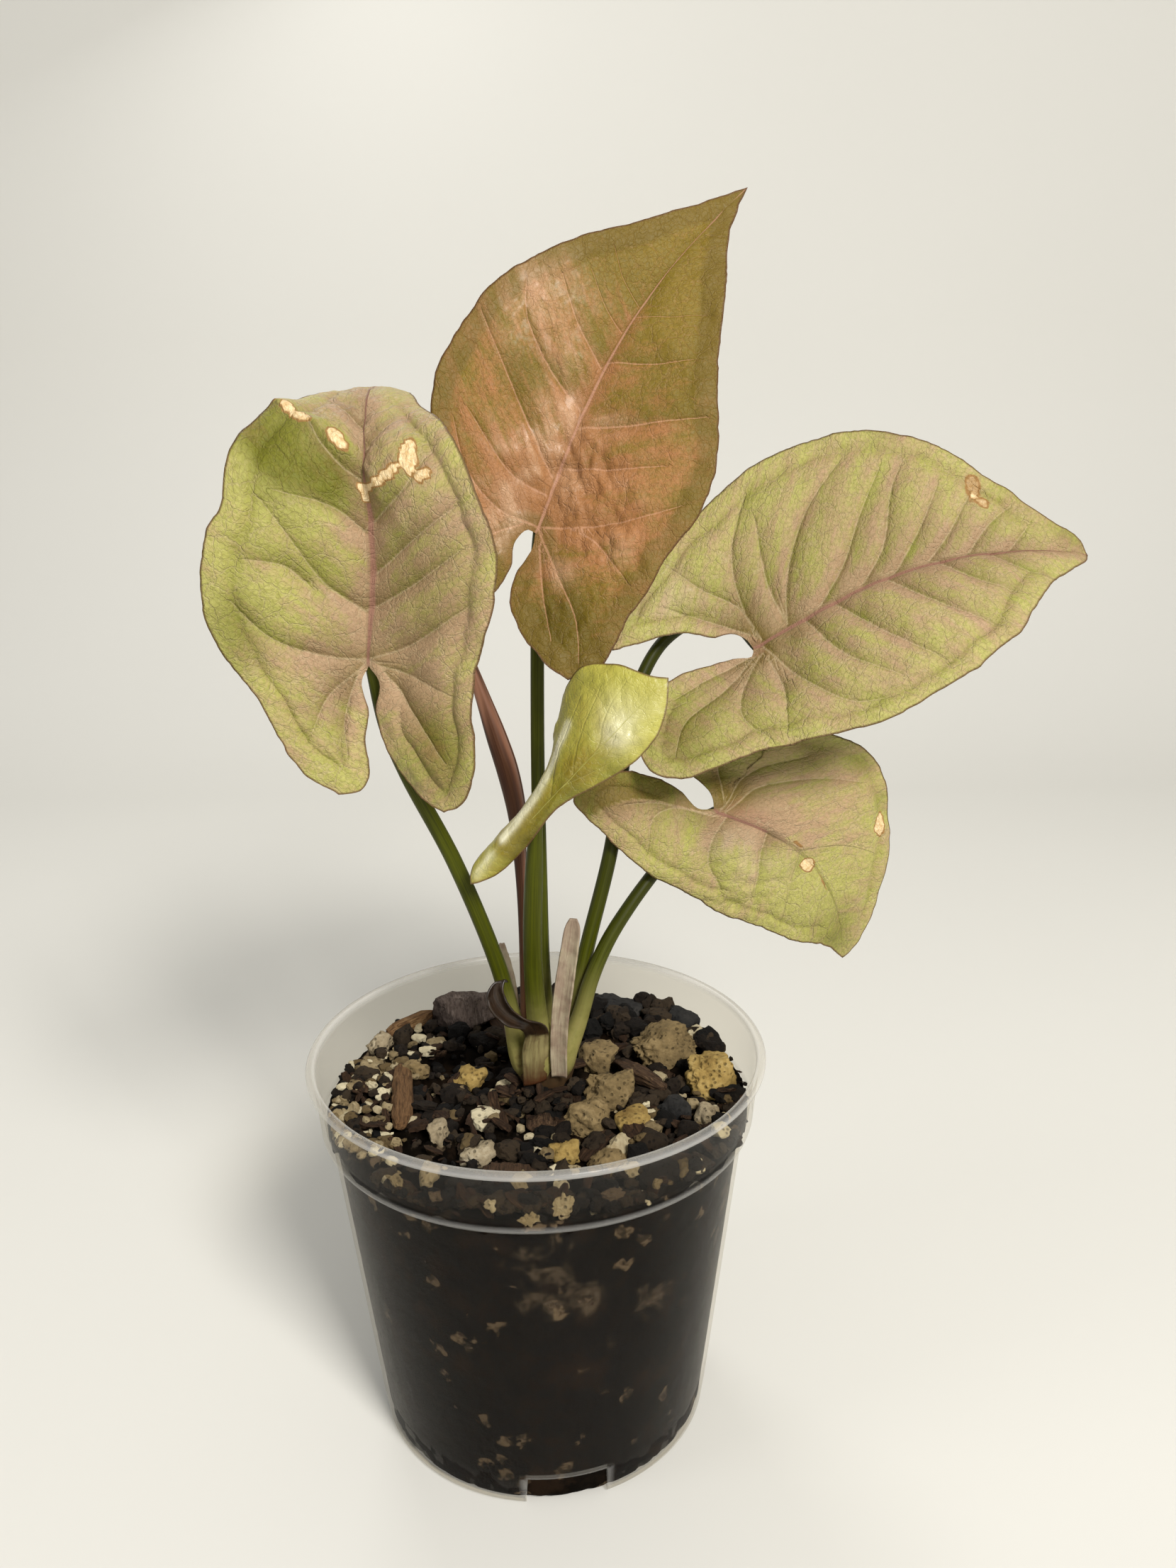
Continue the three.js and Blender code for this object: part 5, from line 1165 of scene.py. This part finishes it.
class Bits:
    """Loose bits by kind. Each has its points, its faces, a tone and the places that its fibres follow."""

    def __init__(self, seed):
        self.seed = seed
        self.draw = random.Random(seed)
        self.heaps = {"crumbs": [], "bark_bits": [], "grit": [], "dim": []}

    def add(self, kind, points, faces, tone, own):
        self.heaps[kind].append((points, faces, np.full(len(points), tone), own))

    def strew(self, count):
        """Bits all over the top, the first eighth of them big, with small grit and bark by the left wall."""
        draw = self.draw
        golden = math.pi * (3 - math.sqrt(5))
        for k in range(count):
            a = golden * k + draw.uniform(-0.4, 0.4)
            radius = 5 + 41 * math.sqrt(draw.random())
            x, y = radius * math.cos(a) + 0.8, radius * math.sin(a)
            big = k < count * LOOSE["big_share"]
            by_left_wall = x < LOOSE["left_strip"] and not big
            pick = draw.random()
            kind = "crumbs"
            if pick < (0.5 if by_left_wall else 0.05 if big else 0.13):
                kind = "grit"
            elif pick < (0.75 if by_left_wall else 0.36):
                kind = "bark_bits"
            if big:
                size = draw.uniform(2.0, 3.4)
            else:
                size = draw.choice((0.5, 0.6, 0.8, 1.0, 1.3, 1.7)) * (0.8 if by_left_wall else 1)
            half = np.array([draw.uniform(0.7, 1.5), draw.uniform(0.6, 1.1), draw.uniform(0.4, 0.9)]) * size
            if kind == "bark_bits":
                half *= (0.6, 1.7, 0.4)
            room = LOOSE["reach"] - max(half)
            if radius > room:
                x, y = x * room / radius, y * room / radius
            by_crown = math.hypot(x - LOOSE["crown_x"], y) < LOOSE["clear_ring"] + max(half)
            if by_crown or on_stone(x, y):
                continue
            own, faces = chip(half, 5000 + self.seed * 1000 + k, 3 if big else 2 if size > 0.9 else 1,
                              knobs=0.25 if big else 0, fibre=0.25 if kind == "bark_bits" else 0)
            points = turned(own, draw.uniform(0, 360), draw.uniform(-35, 35))
            heaped = 1.8 * fade(y, 5, 38) * draw.random() if big else 0
            lift = draw.uniform(-0.4, 1.2) * (0.5 + 0.3 * size) + heaped
            self.add(kind, points + (x, y, float(mix_height(x, y)) - 0.5 + lift), faces, draw.random(), own)

    def heap(self, x0, y0, wide, deep, count, kinds, low, high, rise):
        """Bits piled up round x0, y0."""
        draw = self.draw
        for _ in range(count):
            x, y = x0 + wide * draw.uniform(-1, 1), y0 + deep * draw.uniform(-1, 1)
            size = draw.uniform(low, high)
            half = np.array([draw.uniform(0.7, 1.5), draw.uniform(0.6, 1.1), draw.uniform(0.45, 0.95)]) * size
            kind = draw.choice(kinds)
            if kind == "bark_bits":
                half *= (0.6, 1.7, 0.45)
            room = LOOSE["heap_reach"] - max(half)
            if math.hypot(x, y) > room:
                x, y = (c * room / math.hypot(x, y) for c in (x, y))
            if on_stone(x, y):
                continue
            knobby = size > 1.4
            own, faces = chip(half, 3000 + 97 * len(self.heaps[kind]), 3 if knobby else 2,
                              knobs=0.2 if knobby else 0)
            points = turned(own, draw.uniform(0, 360), draw.uniform(-50, 50))
            middle = max(0, 1 - math.hypot((x - x0) / wide, (y - y0) / deep))
            z = float(mix_height(x, y)) + rise * middle * draw.uniform(0.3, 1) + 0.4 * size
            self.add(kind, points + (x, y, z), faces, draw.random(), own)

    def press(self, count):
        """Flat bits pressed against the wall, all round."""
        draw = self.draw
        for k in range(count):
            z = 3 + 68 * draw.random()
            bearing = 2 * math.pi * draw.random()
            size = draw.choice((0.3, 0.5, 0.6, 0.9, 1.4, 2.2))
            half = np.array([0.6, draw.uniform(0.6, 1.6) * size, draw.uniform(0.6, 1.2) * size])
            own, faces = chip(half, 9000 + k, 3, planes=5, jag=0.6, knobs=0.5, fill=0)
            spin = math.radians(draw.uniform(0, 180))
            y, up = own[:, 1].copy(), own[:, 2].copy()
            own[:, 1] = math.cos(spin) * y - math.sin(spin) * up
            own[:, 2] = math.sin(spin) * y + math.cos(spin) * up
            points = turned(own + (wall_radius(z) - POT["wall"] - 0.8, 0, z), math.degrees(bearing))
            kind = "grit" if k % 9 == 0 and size < 1 else "dim" if k % 3 == 0 else "bark_bits"
            self.add(kind, points, faces, 0.5 * draw.random(), own)

    def press_lumps(self):
        """The lumps of WALL_LUMPS."""
        for bearing, z, wide, tall, kind in WALL_LUMPS:
            radius = wall_radius(z) if z < 73 else POT["collar_foot"]
            own, faces = chip((0.9, wide, tall), 700 + int(bearing * 3 + z), 4, planes=5, jag=0.45,
                              knobs=0.35, fill=0)
            points = turned(own + (radius - POT["wall"] - 1.0, 0, z), bearing)
            self.add(kind, points, faces, 0.2 + 0.5 * self.draw.random(), points)


# ------------------------------------------------------------------ sheaths


def sheath(side, rows, seed, steps=70, columns=16, thickness=0.35):
    """Points, faces and places (along, across) of a ruffled strip whose edges stand forward."""
    curve = spaced(catmull(rows), steps)
    t = np.linspace(-1, 1, columns + 1)
    ruffle = 0.5 * rough(np.column_stack([curve[:, 2], np.zeros((steps + 1, 2))]), 0.35, 3, seed)
    forward = (curve[:, 4:5] + ruffle[:, None]) * t**2
    sheet = curve[:, None, :3] + unit(side) * (t[:, None] * curve[:, None, 3:4] / 2)
    sheet = (sheet - np.array([0, 1.0, 0]) * forward[..., None]).reshape(-1, 3)
    index = np.arange(len(sheet)).reshape(steps + 1, columns + 1)
    quads = np.stack([index[:-1, :-1], index[:-1, 1:], index[1:, 1:], index[1:, :-1]], -1).reshape(-1, 4)
    triangles = np.vstack([quads[:, [0, 1, 2]], quads[:, [0, 2, 3]]])
    points, faces = plate(sheet, triangles, np.full(len(sheet), thickness))
    along = np.repeat(np.arange(steps + 1) * 0.4, columns + 1)
    place = np.column_stack([along, np.tile(t, steps + 1), np.zeros(len(sheet))])
    return points, faces, np.vstack([place, place])


# ------------------------------------------------------------------ pot


def pot_outline():
    """Outline of the pot, from the middle of its underside up outside, over the lip and down inside."""
    p = POT
    w, top, ledge, lip_top = p["wall"], p["height"], p["collar_height"], p["height"] - p["lip_depth"]
    lip, collar, foot = p["lip_radius"], p["collar_top"], p["collar_foot"]
    inner_lip = lip - p["lip_width"]
    base, wall_top = p["base"], p["wall_top"]
    outline = [(0, 0), (base - 1.6, 0), (base - 0.6, 0.25), (base - 0.05, 0.9), (base + 0.1, 2)]
    outline += [(wall_radius(z), z) for z in (7, 8, 20, 36, 52, 66, ledge - 1.6)]
    outline += [(wall_top + 0.1, ledge - 0.8), (wall_top + 0.7, ledge - 0.45), (foot - 0.15, ledge - 0.2),
                (foot, ledge + 0.3), (foot + 0.1, ledge + 1.5), (collar - 0.25, top - 4),
                (collar, lip_top - 0.35), (lip - 0.5, lip_top - 0.1), (lip - 0.05, lip_top + 0.25),
                (lip, top - 0.7), (lip - 0.35, top - 0.15), (lip - 1, top), (inner_lip + 0.5, top - 0.05),
                (inner_lip + 0.1, top - 0.5), (collar - w, lip_top - 0.3), (foot - w, ledge + w + 0.4),
                (wall_top - w + 0.2, ledge + 0.1), (wall_top - w, ledge - 0.8)]
    outline += [(wall_radius(z) - w, z) for z in (66, 52, 36, 20, 8)]
    return outline + [(base - w, p["floor"] + 1), (base - w - 0.9, p["floor"]), (0, p["floor"])]


def lathe(outline, around=160):
    """Points and faces of an outline (radius, z) turned about Z. A radius of 0 is one point."""
    ring = np.arange(around) * 2 * math.pi / around
    points, faces = [], []
    for r, z in outline:
        points += [(r * math.cos(a), r * math.sin(a), z) for a in ring] if r else [(0, 0, z)]
    starts = np.cumsum([0] + [around if r else 1 for r, _ in outline])
    for (lower, _), (upper, _), a, b in zip(outline, outline[1:], starts, starts[1:]):
        for j in range(around):
            k = (j + 1) % around
            if lower and upper:
                faces.append((a + j, a + k, b + k, b + j))
            elif upper:
                faces.append((a, b + k, b + j))
            else:
                faces.append((a + j, a + k, b))
    return points, faces


def notch_bearings():
    return [POT["first_notch"] + i * 360 / POT["notches"] for i in range(POT["notches"])]


def cut_notches(shell):
    """Cuts the notches out of the foot."""
    cutters = []
    for bearing in notch_bearings():
        x, y, z = POT["notch_depth"], POT["notch_width"] / 2, POT["notch_height"]
        box = np.array([(a * x, b * y, c * z) for a in (-1, 1) for b in (-1, 1) for c in (-1, 1)])
        box[[3, 7, 1, 5], 1] *= 0.93
        box = turned(box + (POT["base"], 0, 0), bearing)
        sides = [(0, 1, 3, 2), (4, 6, 7, 5), (0, 4, 5, 1), (2, 3, 7, 6), (0, 2, 6, 4), (1, 5, 7, 3)]
        cutter = new_piece("notch_cutter", box, sides, smooth=False)
        cut = shell.modifiers.new("notch", "BOOLEAN")
        cut.object, cut.solver = cutter, "EXACT"
        cutters.append(cutter)
    bpy.context.view_layer.update()
    shell.data = bpy.data.meshes.new_from_object(shell.evaluated_get(bpy.context.evaluated_depsgraph_get()))
    shell.modifiers.clear()
    for cutter in cutters:
        bpy.data.objects.remove(cutter)


def painted_edge_highlights(co):
    """How milky the plastic is at each point: painted highlight lines along the lip, the ledge, the foot and
    the notches.
    """
    r, z, top = np.hypot(co[:, 0], co[:, 1]), co[:, 2], POT["height"]
    inner_lip = POT["lip_radius"] - POT["lip_width"] + 0.3
    lines = np.maximum(fade(r, POT["lip_radius"] - 0.6, POT["lip_radius"] - 0.05),
                       1 - fade(np.abs(r - inner_lip), 0.25, 0.6))
    lip = fade(z, top - 1.9, top - 1.2) * (0.3 + 0.7 * lines)
    ledge = 0.6 * (1 - fade(np.abs(z - POT["collar_height"] - 0.1), 0.15, 0.5))
    foot = 0.3 * (1 - fade(z, 0.6, 2.2)) * fade(r, POT["base"] - 3, POT["base"] - 1)
    edge = np.maximum(np.maximum(lip, ledge), foot)
    high, wide = POT["notch_height"], POT["notch_width"] / 2
    for bearing in notch_bearings():
        aside = np.abs(turned(co, -bearing)[:, 1])
        by_notch = (z < high + 0.1) & (aside < wide + 0.1) & (r > 28)
        edge = np.maximum(edge, 0.4 * (by_notch & ((z > high - 0.1) | (aside > wide - 0.8))))
    return edge


# ------------------------------------------------------------------ stage


def studio_floor(half_width=2600, front=-2000, back=500, bend=300, top=2600):
    """Pale floor that bends up into a wall at the back."""
    f = Finish("pale_floor", Roughness=0.8, Specular_IOR_Level=0.2)
    cloudy = f.mix(f.noise(f.place(), 3, 2), (0.66, 0.65, 0.61), (0.69, 0.68, 0.64))
    f.set(f.shader, {"Base Color": cloudy})
    sweep = [math.radians(a) for a in range(9, 91, 9)]
    profile = [(front, 0), (back, 0)]
    profile += [(back + bend * math.sin(a), bend - bend * math.cos(a)) for a in sweep]
    profile.append((back + bend, top))
    n = len(profile)
    return new_piece("floor", [(x, y, z) for x in (-half_width, half_width) for y, z in profile],
                     [(i, n + i, n + i + 1, i + 1) for i in range(n - 1)], material=f.material)


def light_world(scene, tint=(0.97, 0.97, 0.95, 1), strength=0.32):
    world = bpy.data.worlds.new("studio")
    scene.world = world
    world.use_nodes = True
    background = world.node_tree.nodes["Background"]
    background.inputs["Color"].default_value = tint
    background.inputs["Strength"].default_value = strength


def hang_lamp(scene, name, at, size, watts, aim, tint):
    """A square lamp at a place, turned to shine at another."""
    lamp = bpy.data.lights.new(name, "AREA")
    lamp.size, lamp.energy, lamp.color = size, watts, tint
    obj = bpy.data.objects.new(name, lamp)
    obj.location = at
    obj.rotation_euler = (Vector(aim) - Vector(at)).to_track_quat("-Z", "Y").to_euler()
    scene.collection.objects.link(obj)


def set_camera(scene):
    """Camera that looks along +Y, tipped down by the pitch and turned by the roll."""
    camera = bpy.data.objects.new("camera", bpy.data.cameras.new("camera"))
    camera.data.sensor_fit, camera.data.sensor_height = "VERTICAL", CAMERA["sensor_height"]
    camera.data.lens, camera.data.clip_start = CAMERA["lens"], CAMERA["clip_start"]
    pitch, roll = math.radians(CAMERA["pitch"]), math.radians(CAMERA["roll"])
    forward = Vector((0, math.cos(pitch), -math.sin(pitch)))
    right = Vector((1, 0, 0))
    up = right.cross(forward)
    rolled_right = math.cos(roll) * right + math.sin(roll) * up
    rolled_up = -math.sin(roll) * right + math.cos(roll) * up
    turn = Matrix((rolled_right, rolled_up, -forward)).transposed().to_4x4()
    camera.matrix_world = Matrix.Translation(Vector(CAMERA["at"]) * MM) @ turn
    scene.collection.objects.link(camera)
    scene.camera = camera


# ------------------------------------------------------------------ settings


class ArrowheadSizes(bpy.types.PropertyGroup):
    blade_thickness: bpy.props.FloatProperty(
        name="Blade thickness", description="Thickness of a leaf blade at its middle", default=0.42 * MM,
        min=0.1 * MM, unit="LENGTH")
    quilting: bpy.props.FloatProperty(
        name="Quilting", description="How deep the side veins lie below the blade between them", default=1.0,
        min=0, max=2, subtype="FACTOR")
    crumbs: bpy.props.IntProperty(
        name="Crumbs", description="Loose crumbs, chips and grit on top of the mix", default=1000, min=0,
        max=2000)
    wall_stones: bpy.props.IntProperty(
        name="Stones at the wall", description="Stones that show through the pot's wall", default=150, min=0,
        max=300)
    seed: bpy.props.IntProperty(name="Seed", description="Changes where the crumbs lie", default=11)


def tint(name, description, default):
    return bpy.props.FloatVectorProperty(name=name, description=description, default=default, subtype="COLOR")


class ArrowheadColours(bpy.types.PropertyGroup):
    leaf_green: tint("Leaf green", "Green of the grown leaves", (0.330, 0.320, 0.074))
    leaf_wash: tint("Leaf wash", "Pinkish tan over the grown leaves", (0.362, 0.240, 0.142))
    bronze_green: tint("Bronze leaf green", "Olive of the top leaf", (0.170, 0.118, 0.011))
    bronze_wash: tint("Bronze leaf wash", "Copper pink of the top leaf", (0.30, 0.134, 0.048))
    young_green: tint("Young leaf green", "Green of the leaf that is still rolled", (0.305, 0.285, 0.040))
    stalk_green: tint("Stalk green", "Green of the stalks", (0.030, 0.034, 0.0008))
    vein_pink: tint("Vein pink", "Pink of the midribs", (0.27, 0.13, 0.092))
    plastic: tint("Plastic", "Tint of the clear pot", (0.80, 0.79, 0.76))
    plastic_haze: bpy.props.FloatProperty(
        name="Plastic haze", description="How much the clear wall hides what is behind it", default=0.002,
        min=0, max=1, subtype="FACTOR")
    mix: tint("Potting mix", "Colour of the moist mix", (0.006, 0.0042, 0.0028))


def sizes():
    return bpy.context.scene.arrowhead_sizes


def colour(name):
    return tuple(getattr(bpy.context.scene.arrowhead_colours, name))


# ------------------------------------------------------------------ operators


class MakePot(bpy.types.Operator):
    """Clear nursery pot with a turned lip, a stepped collar and notches at its foot"""
    bl_idname = "mesh.arrowhead_pot"
    bl_label = "Pot"

    def execute(self, context):
        shell = new_piece("clear_pot", *lathe(pot_outline()))
        cut_notches(shell)
        mesh = shell.data
        edge = painted_edge_highlights(np.array([v.co for v in mesh.vertices]) / MM)
        mesh.attributes.new("edge", "FLOAT", "POINT").data.foreach_set("value", edge.astype(np.float32))
        mesh.polygons.foreach_set("use_smooth", [True] * len(mesh.polygons))
        haze = context.scene.arrowhead_colours.plastic_haze
        mesh.materials.append(plastic_finish("clear_plastic", colour("plastic"), haze))
        shell.modifiers.new("flat_faces_first", "WEIGHTED_NORMAL")
        dress(shell, "clear_plastic", "pot")
        return {"FINISHED"}


class MakeMix(bpy.types.Operator):
    """Potting mix: crumbly surface, loose crumbs, bark bits and grit, and stones against the wall"""
    bl_idname = "mesh.arrowhead_mix"
    bl_label = "Potting mix"

    def execute(self, context):
        points, faces = mix_body()
        black = mix_finish("potting_mix", colour("mix"))
        dress(new_piece("mix_body", points, faces, {"cake": caked(points)}, black), "potting_mix",
              "potting_mix")
        bits = Bits(sizes().seed)
        bits.strew(sizes().crumbs)
        for heap in HEAPS:
            bits.heap(*heap)
        bits.press(sizes().wall_stones)
        bits.press_lumps()
        finishes = {"crumbs": stone_finish("dark_crumbs", pit=0.4, by_bit=True),
                    "bark_bits": bark_finish("bark_bits"),
                    "grit": stone_finish("pale_grit", pit=0.5, by_bit=True),
                    "dim": stone_finish("caked_grit", pit=0.5)}
        for name, parts in bits.heaps.items():
            points, faces, kind, place = join(parts)
            layers = {"kind": kind, "place": place}
            obj = new_piece("mix_" + name, points, faces, layers, finishes[name], smooth=False)
            dress(obj, "potting_mix", "potting_mix")
        return {"FINISHED"}


class MakeStones(bpy.types.Operator):
    """Pumice, charcoal and bark that lie on the mix"""
    bl_idname = "mesh.arrowhead_stones"
    bl_label = "Stones and bark"

    def execute(self, context):
        skins = {name: stone_finish(name) for name in ("tan_pumice", "gold_pumice", "white_pumice")}
        skins["charcoal"] = stone_finish("charcoal", pit=0.3)
        skins |= {name: bark_finish(name) for name in ("bark", "mauve_bark", "rusty_bark")}
        for kind, stones in STONES.items():
            usual, special = SKINS[kind]
            fibrous = kind == "bark"
            for i, (at, half, turn, tilt) in enumerate(stones, 1):
                own, faces = chip(half, 40 + 17 * i + len(kind), 5 if kind == "pumice" and half[0] > 5 else 4,
                                  jag=0.1 if fibrous else 0.3, fibre=0.22 if fibrous else 0,
                                  knobs=0.42 if kind == "pumice" else 0.15)
                obj = new_piece(f"{kind}_{i}_fine", turned(own, turn, tilt) + at, faces, {"place": own},
                                skins[special.get(i, usual)])
                dress(obj, kind, f"{kind}_{i}")
        return {"FINISHED"}


class MakeCrown(bpy.types.Operator):
    """Crown that the stalks stand on, with its roots in the mix"""
    bl_idname = "mesh.arrowhead_crown"
    bl_label = "Crown and roots"

    def execute(self, context):
        def lobes(t, a):
            return 1 + 0.06 * np.sin(5 * a + 0.6) * t + 0.02 * np.sin(13 * a)
        parts = [tube(CROWN, sides=40, step=0.8, squash=0.78, shape=lobes)]
        parts += [tube(root, sides=10, step=2.0) for root in ROOTS]
        points, faces, place = join(parts)
        skin = stalk_finish("crown_skin", (0.020, 0.012, 0.006), (0.055, 0.034, 0.016),
                            foot_tint=(0.06, 0.036, 0.016), roughness=0.7)
        dress(new_piece("crown_fine", points, faces, {"place": place}, skin), "crown", "crown")
        return {"FINISHED"}


class MakePetioles(bpy.types.Operator):
    """Five leaf stalks, clasped together at the crown"""
    bl_idname = "mesh.arrowhead_petioles"
    bl_label = "Stalks"

    def execute(self, context):
        def groove(t, a):
            return 1 + 0.035 * np.sin(3 * a + 1) + 0.02 * np.sin(8 * a) * (1 - t)
        dark = colour("stalk_green")
        skin = stalk_finish("stalk_skin", dark, toned(dark, 2), foot_tint=(0.34, 0.30, 0.105))
        for name, stations in PETIOLES.items():
            points, faces, place = tube(stations, sides=22, step=0.9, shape=groove)
            obj = new_piece("petiole_" + name + "_fine", points, faces, {"place": place}, skin)
            dress(obj, "petiole", "petiole_" + name)
        return {"FINISHED"}


class MakeLeaves(bpy.types.Operator):
    """Four grown leaf blades, quilted between their side veins"""
    bl_idname = "mesh.arrowhead_leaves"
    bl_label = "Grown leaves"

    def execute(self, context):
        bronze = leaf_finish("bronze_leaf", colour("bronze_green"), colour("bronze_wash"),
                             vein=(0.42, 0.22, 0.14), line_tint=(0.42, 0.22, 0.125), shine=(0.60, 0.40, 0.25),
                             lean=0.34, roughness=0.44, net=0.22, band=((0.12, 0.08, 0.014), 0.6),
                             vein_share=0.6, rib_width=0.5, depth=0.6, glaze=0.12)
        plain = leaf_finish("pink_green_leaf", colour("leaf_green"), colour("leaf_wash"), colour("vein_pink"),
                            line_tint=(0.46, 0.36, 0.22), shine=(0.66, 0.56, 0.38), lean=0.26, roughness=0.5,
                            net=0.45, rib_width=0.62)
        for name, leaf in LEAVES.items():
            make_blade(name, leaf, bronze if name == "top" else plain)
        return {"FINISHED"}


class MakeYoungLeaf(bpy.types.Operator):
    """Bright young leaf, its lobes still wound into a tail"""
    bl_idname = "mesh.arrowhead_young_leaf"
    bl_label = "Young leaf"

    def execute(self, context):
        green = colour("young_green")
        skin = leaf_finish("young_leaf", green, toned(green, 0.78, 0.64, 0.5), vein=(0.32, 0.30, 0.07),
                           line_tint=(0.36, 0.32, 0.10), shine=(0.80, 0.77, 0.56), lean=0.12, roughness=0.34,
                           net=0.25, coat=0.25, vein_share=0.3, rib_width=0.1, plump=(0.41, 0.385, 0.07),
                           depth=0.4, glaze=0.5)
        make_blade("young", YOUNG, skin)
        return {"FINISHED"}


class MakeSpear(bpy.types.Operator):
    """Leaf that is still tightly rolled"""
    bl_idname = "mesh.arrowhead_spear"
    bl_label = "Rolled leaf"

    def execute(self, context):
        def wound(t, a):
            return 1 - 0.10 * fade(a, 5.2, 6.28) * fade(t, 0.3, 0.5) + 0.02 * np.sin(4 * a)
        points, faces, place = tube(SPEAR, sides=36, step=0.9, shape=wound)
        skin = stalk_finish("rolled_leaf", (0.028, 0.009, 0.004), (0.058, 0.024, 0.011),
                            foot_tint=(0.06, 0.036, 0.014), roughness=0.36, wrap=(0.21, 0.10, 0.062))
        dress(new_piece("spear_fine", points, faces, {"place": place}, skin), "rolled_leaf", "spear")
        return {"FINISHED"}


class MakeSheaths(bpy.types.Operator):
    """Papery sheaths at the foot of the stalks, one of them dried and curled"""
    bl_idname = "mesh.arrowhead_sheaths"
    bl_label = "Sheaths"

    def execute(self, context):
        skins = {"pale_sheath": sheath_finish("pale_sheath"),
                 "dry_sheath": sheath_finish("dry_sheath", roughness=0.36, foot=(0.060, 0.022, 0.008))}
        for name, (side, rows) in SHEATHS.items():
            points, faces, place = sheath(side, rows, len(name))
            slot = "dry_sheath" if name == "dried_sheath" else "pale_sheath"
            dress(new_piece(name + "_fine", points, faces, {"place": place}, skins[slot]), slot, name)
        return {"FINISHED"}


class MakeStage(bpy.types.Operator):
    """Pale floor, soft lamps and the camera"""
    bl_idname = "mesh.arrowhead_stage"
    bl_label = "Stage"

    def execute(self, context):
        scene = context.scene
        floor = studio_floor()
        light_world(scene)
        for lamp in LAMPS:
            hang_lamp(scene, *lamp)
        set_camera(scene)
        scene.view_settings.view_transform = "Standard"
        return {"FINISHED"}


STEPS = (MakePot, MakeMix, MakeStones, MakeCrown, MakePetioles, MakeLeaves, MakeYoungLeaf, MakeSpear,
         MakeSheaths, MakeStage)


class ArrowheadPanel(bpy.types.Panel):
    bl_idname = "VIEW3D_PT_arrowhead"
    bl_label = "Arrowhead plant"
    bl_space_type = "VIEW_3D"
    bl_region_type = "UI"
    bl_category = "Arrowhead plant"

    def draw(self, context):
        for step in STEPS:
            self.layout.operator(step.bl_idname)
        for group in (context.scene.arrowhead_sizes, context.scene.arrowhead_colours):
            for key in group.__annotations__:
                self.layout.prop(group, key)


CLASSES = (ArrowheadSizes, ArrowheadColours, *STEPS, ArrowheadPanel)


def register():
    for cls in CLASSES:
        bpy.utils.register_class(cls)
    bpy.types.Scene.arrowhead_sizes = bpy.props.PointerProperty(type=ArrowheadSizes)
    bpy.types.Scene.arrowhead_colours = bpy.props.PointerProperty(type=ArrowheadColours)


def unregister():
    del bpy.types.Scene.arrowhead_sizes, bpy.types.Scene.arrowhead_colours
    for cls in reversed(CLASSES):
        bpy.utils.unregister_class(cls)


def main():
    register()
    for step in STEPS:
        group, name = step.bl_idname.split(".")
        getattr(getattr(bpy.ops, group), name)()
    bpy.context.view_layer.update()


if __name__ == "__main__":
    main()
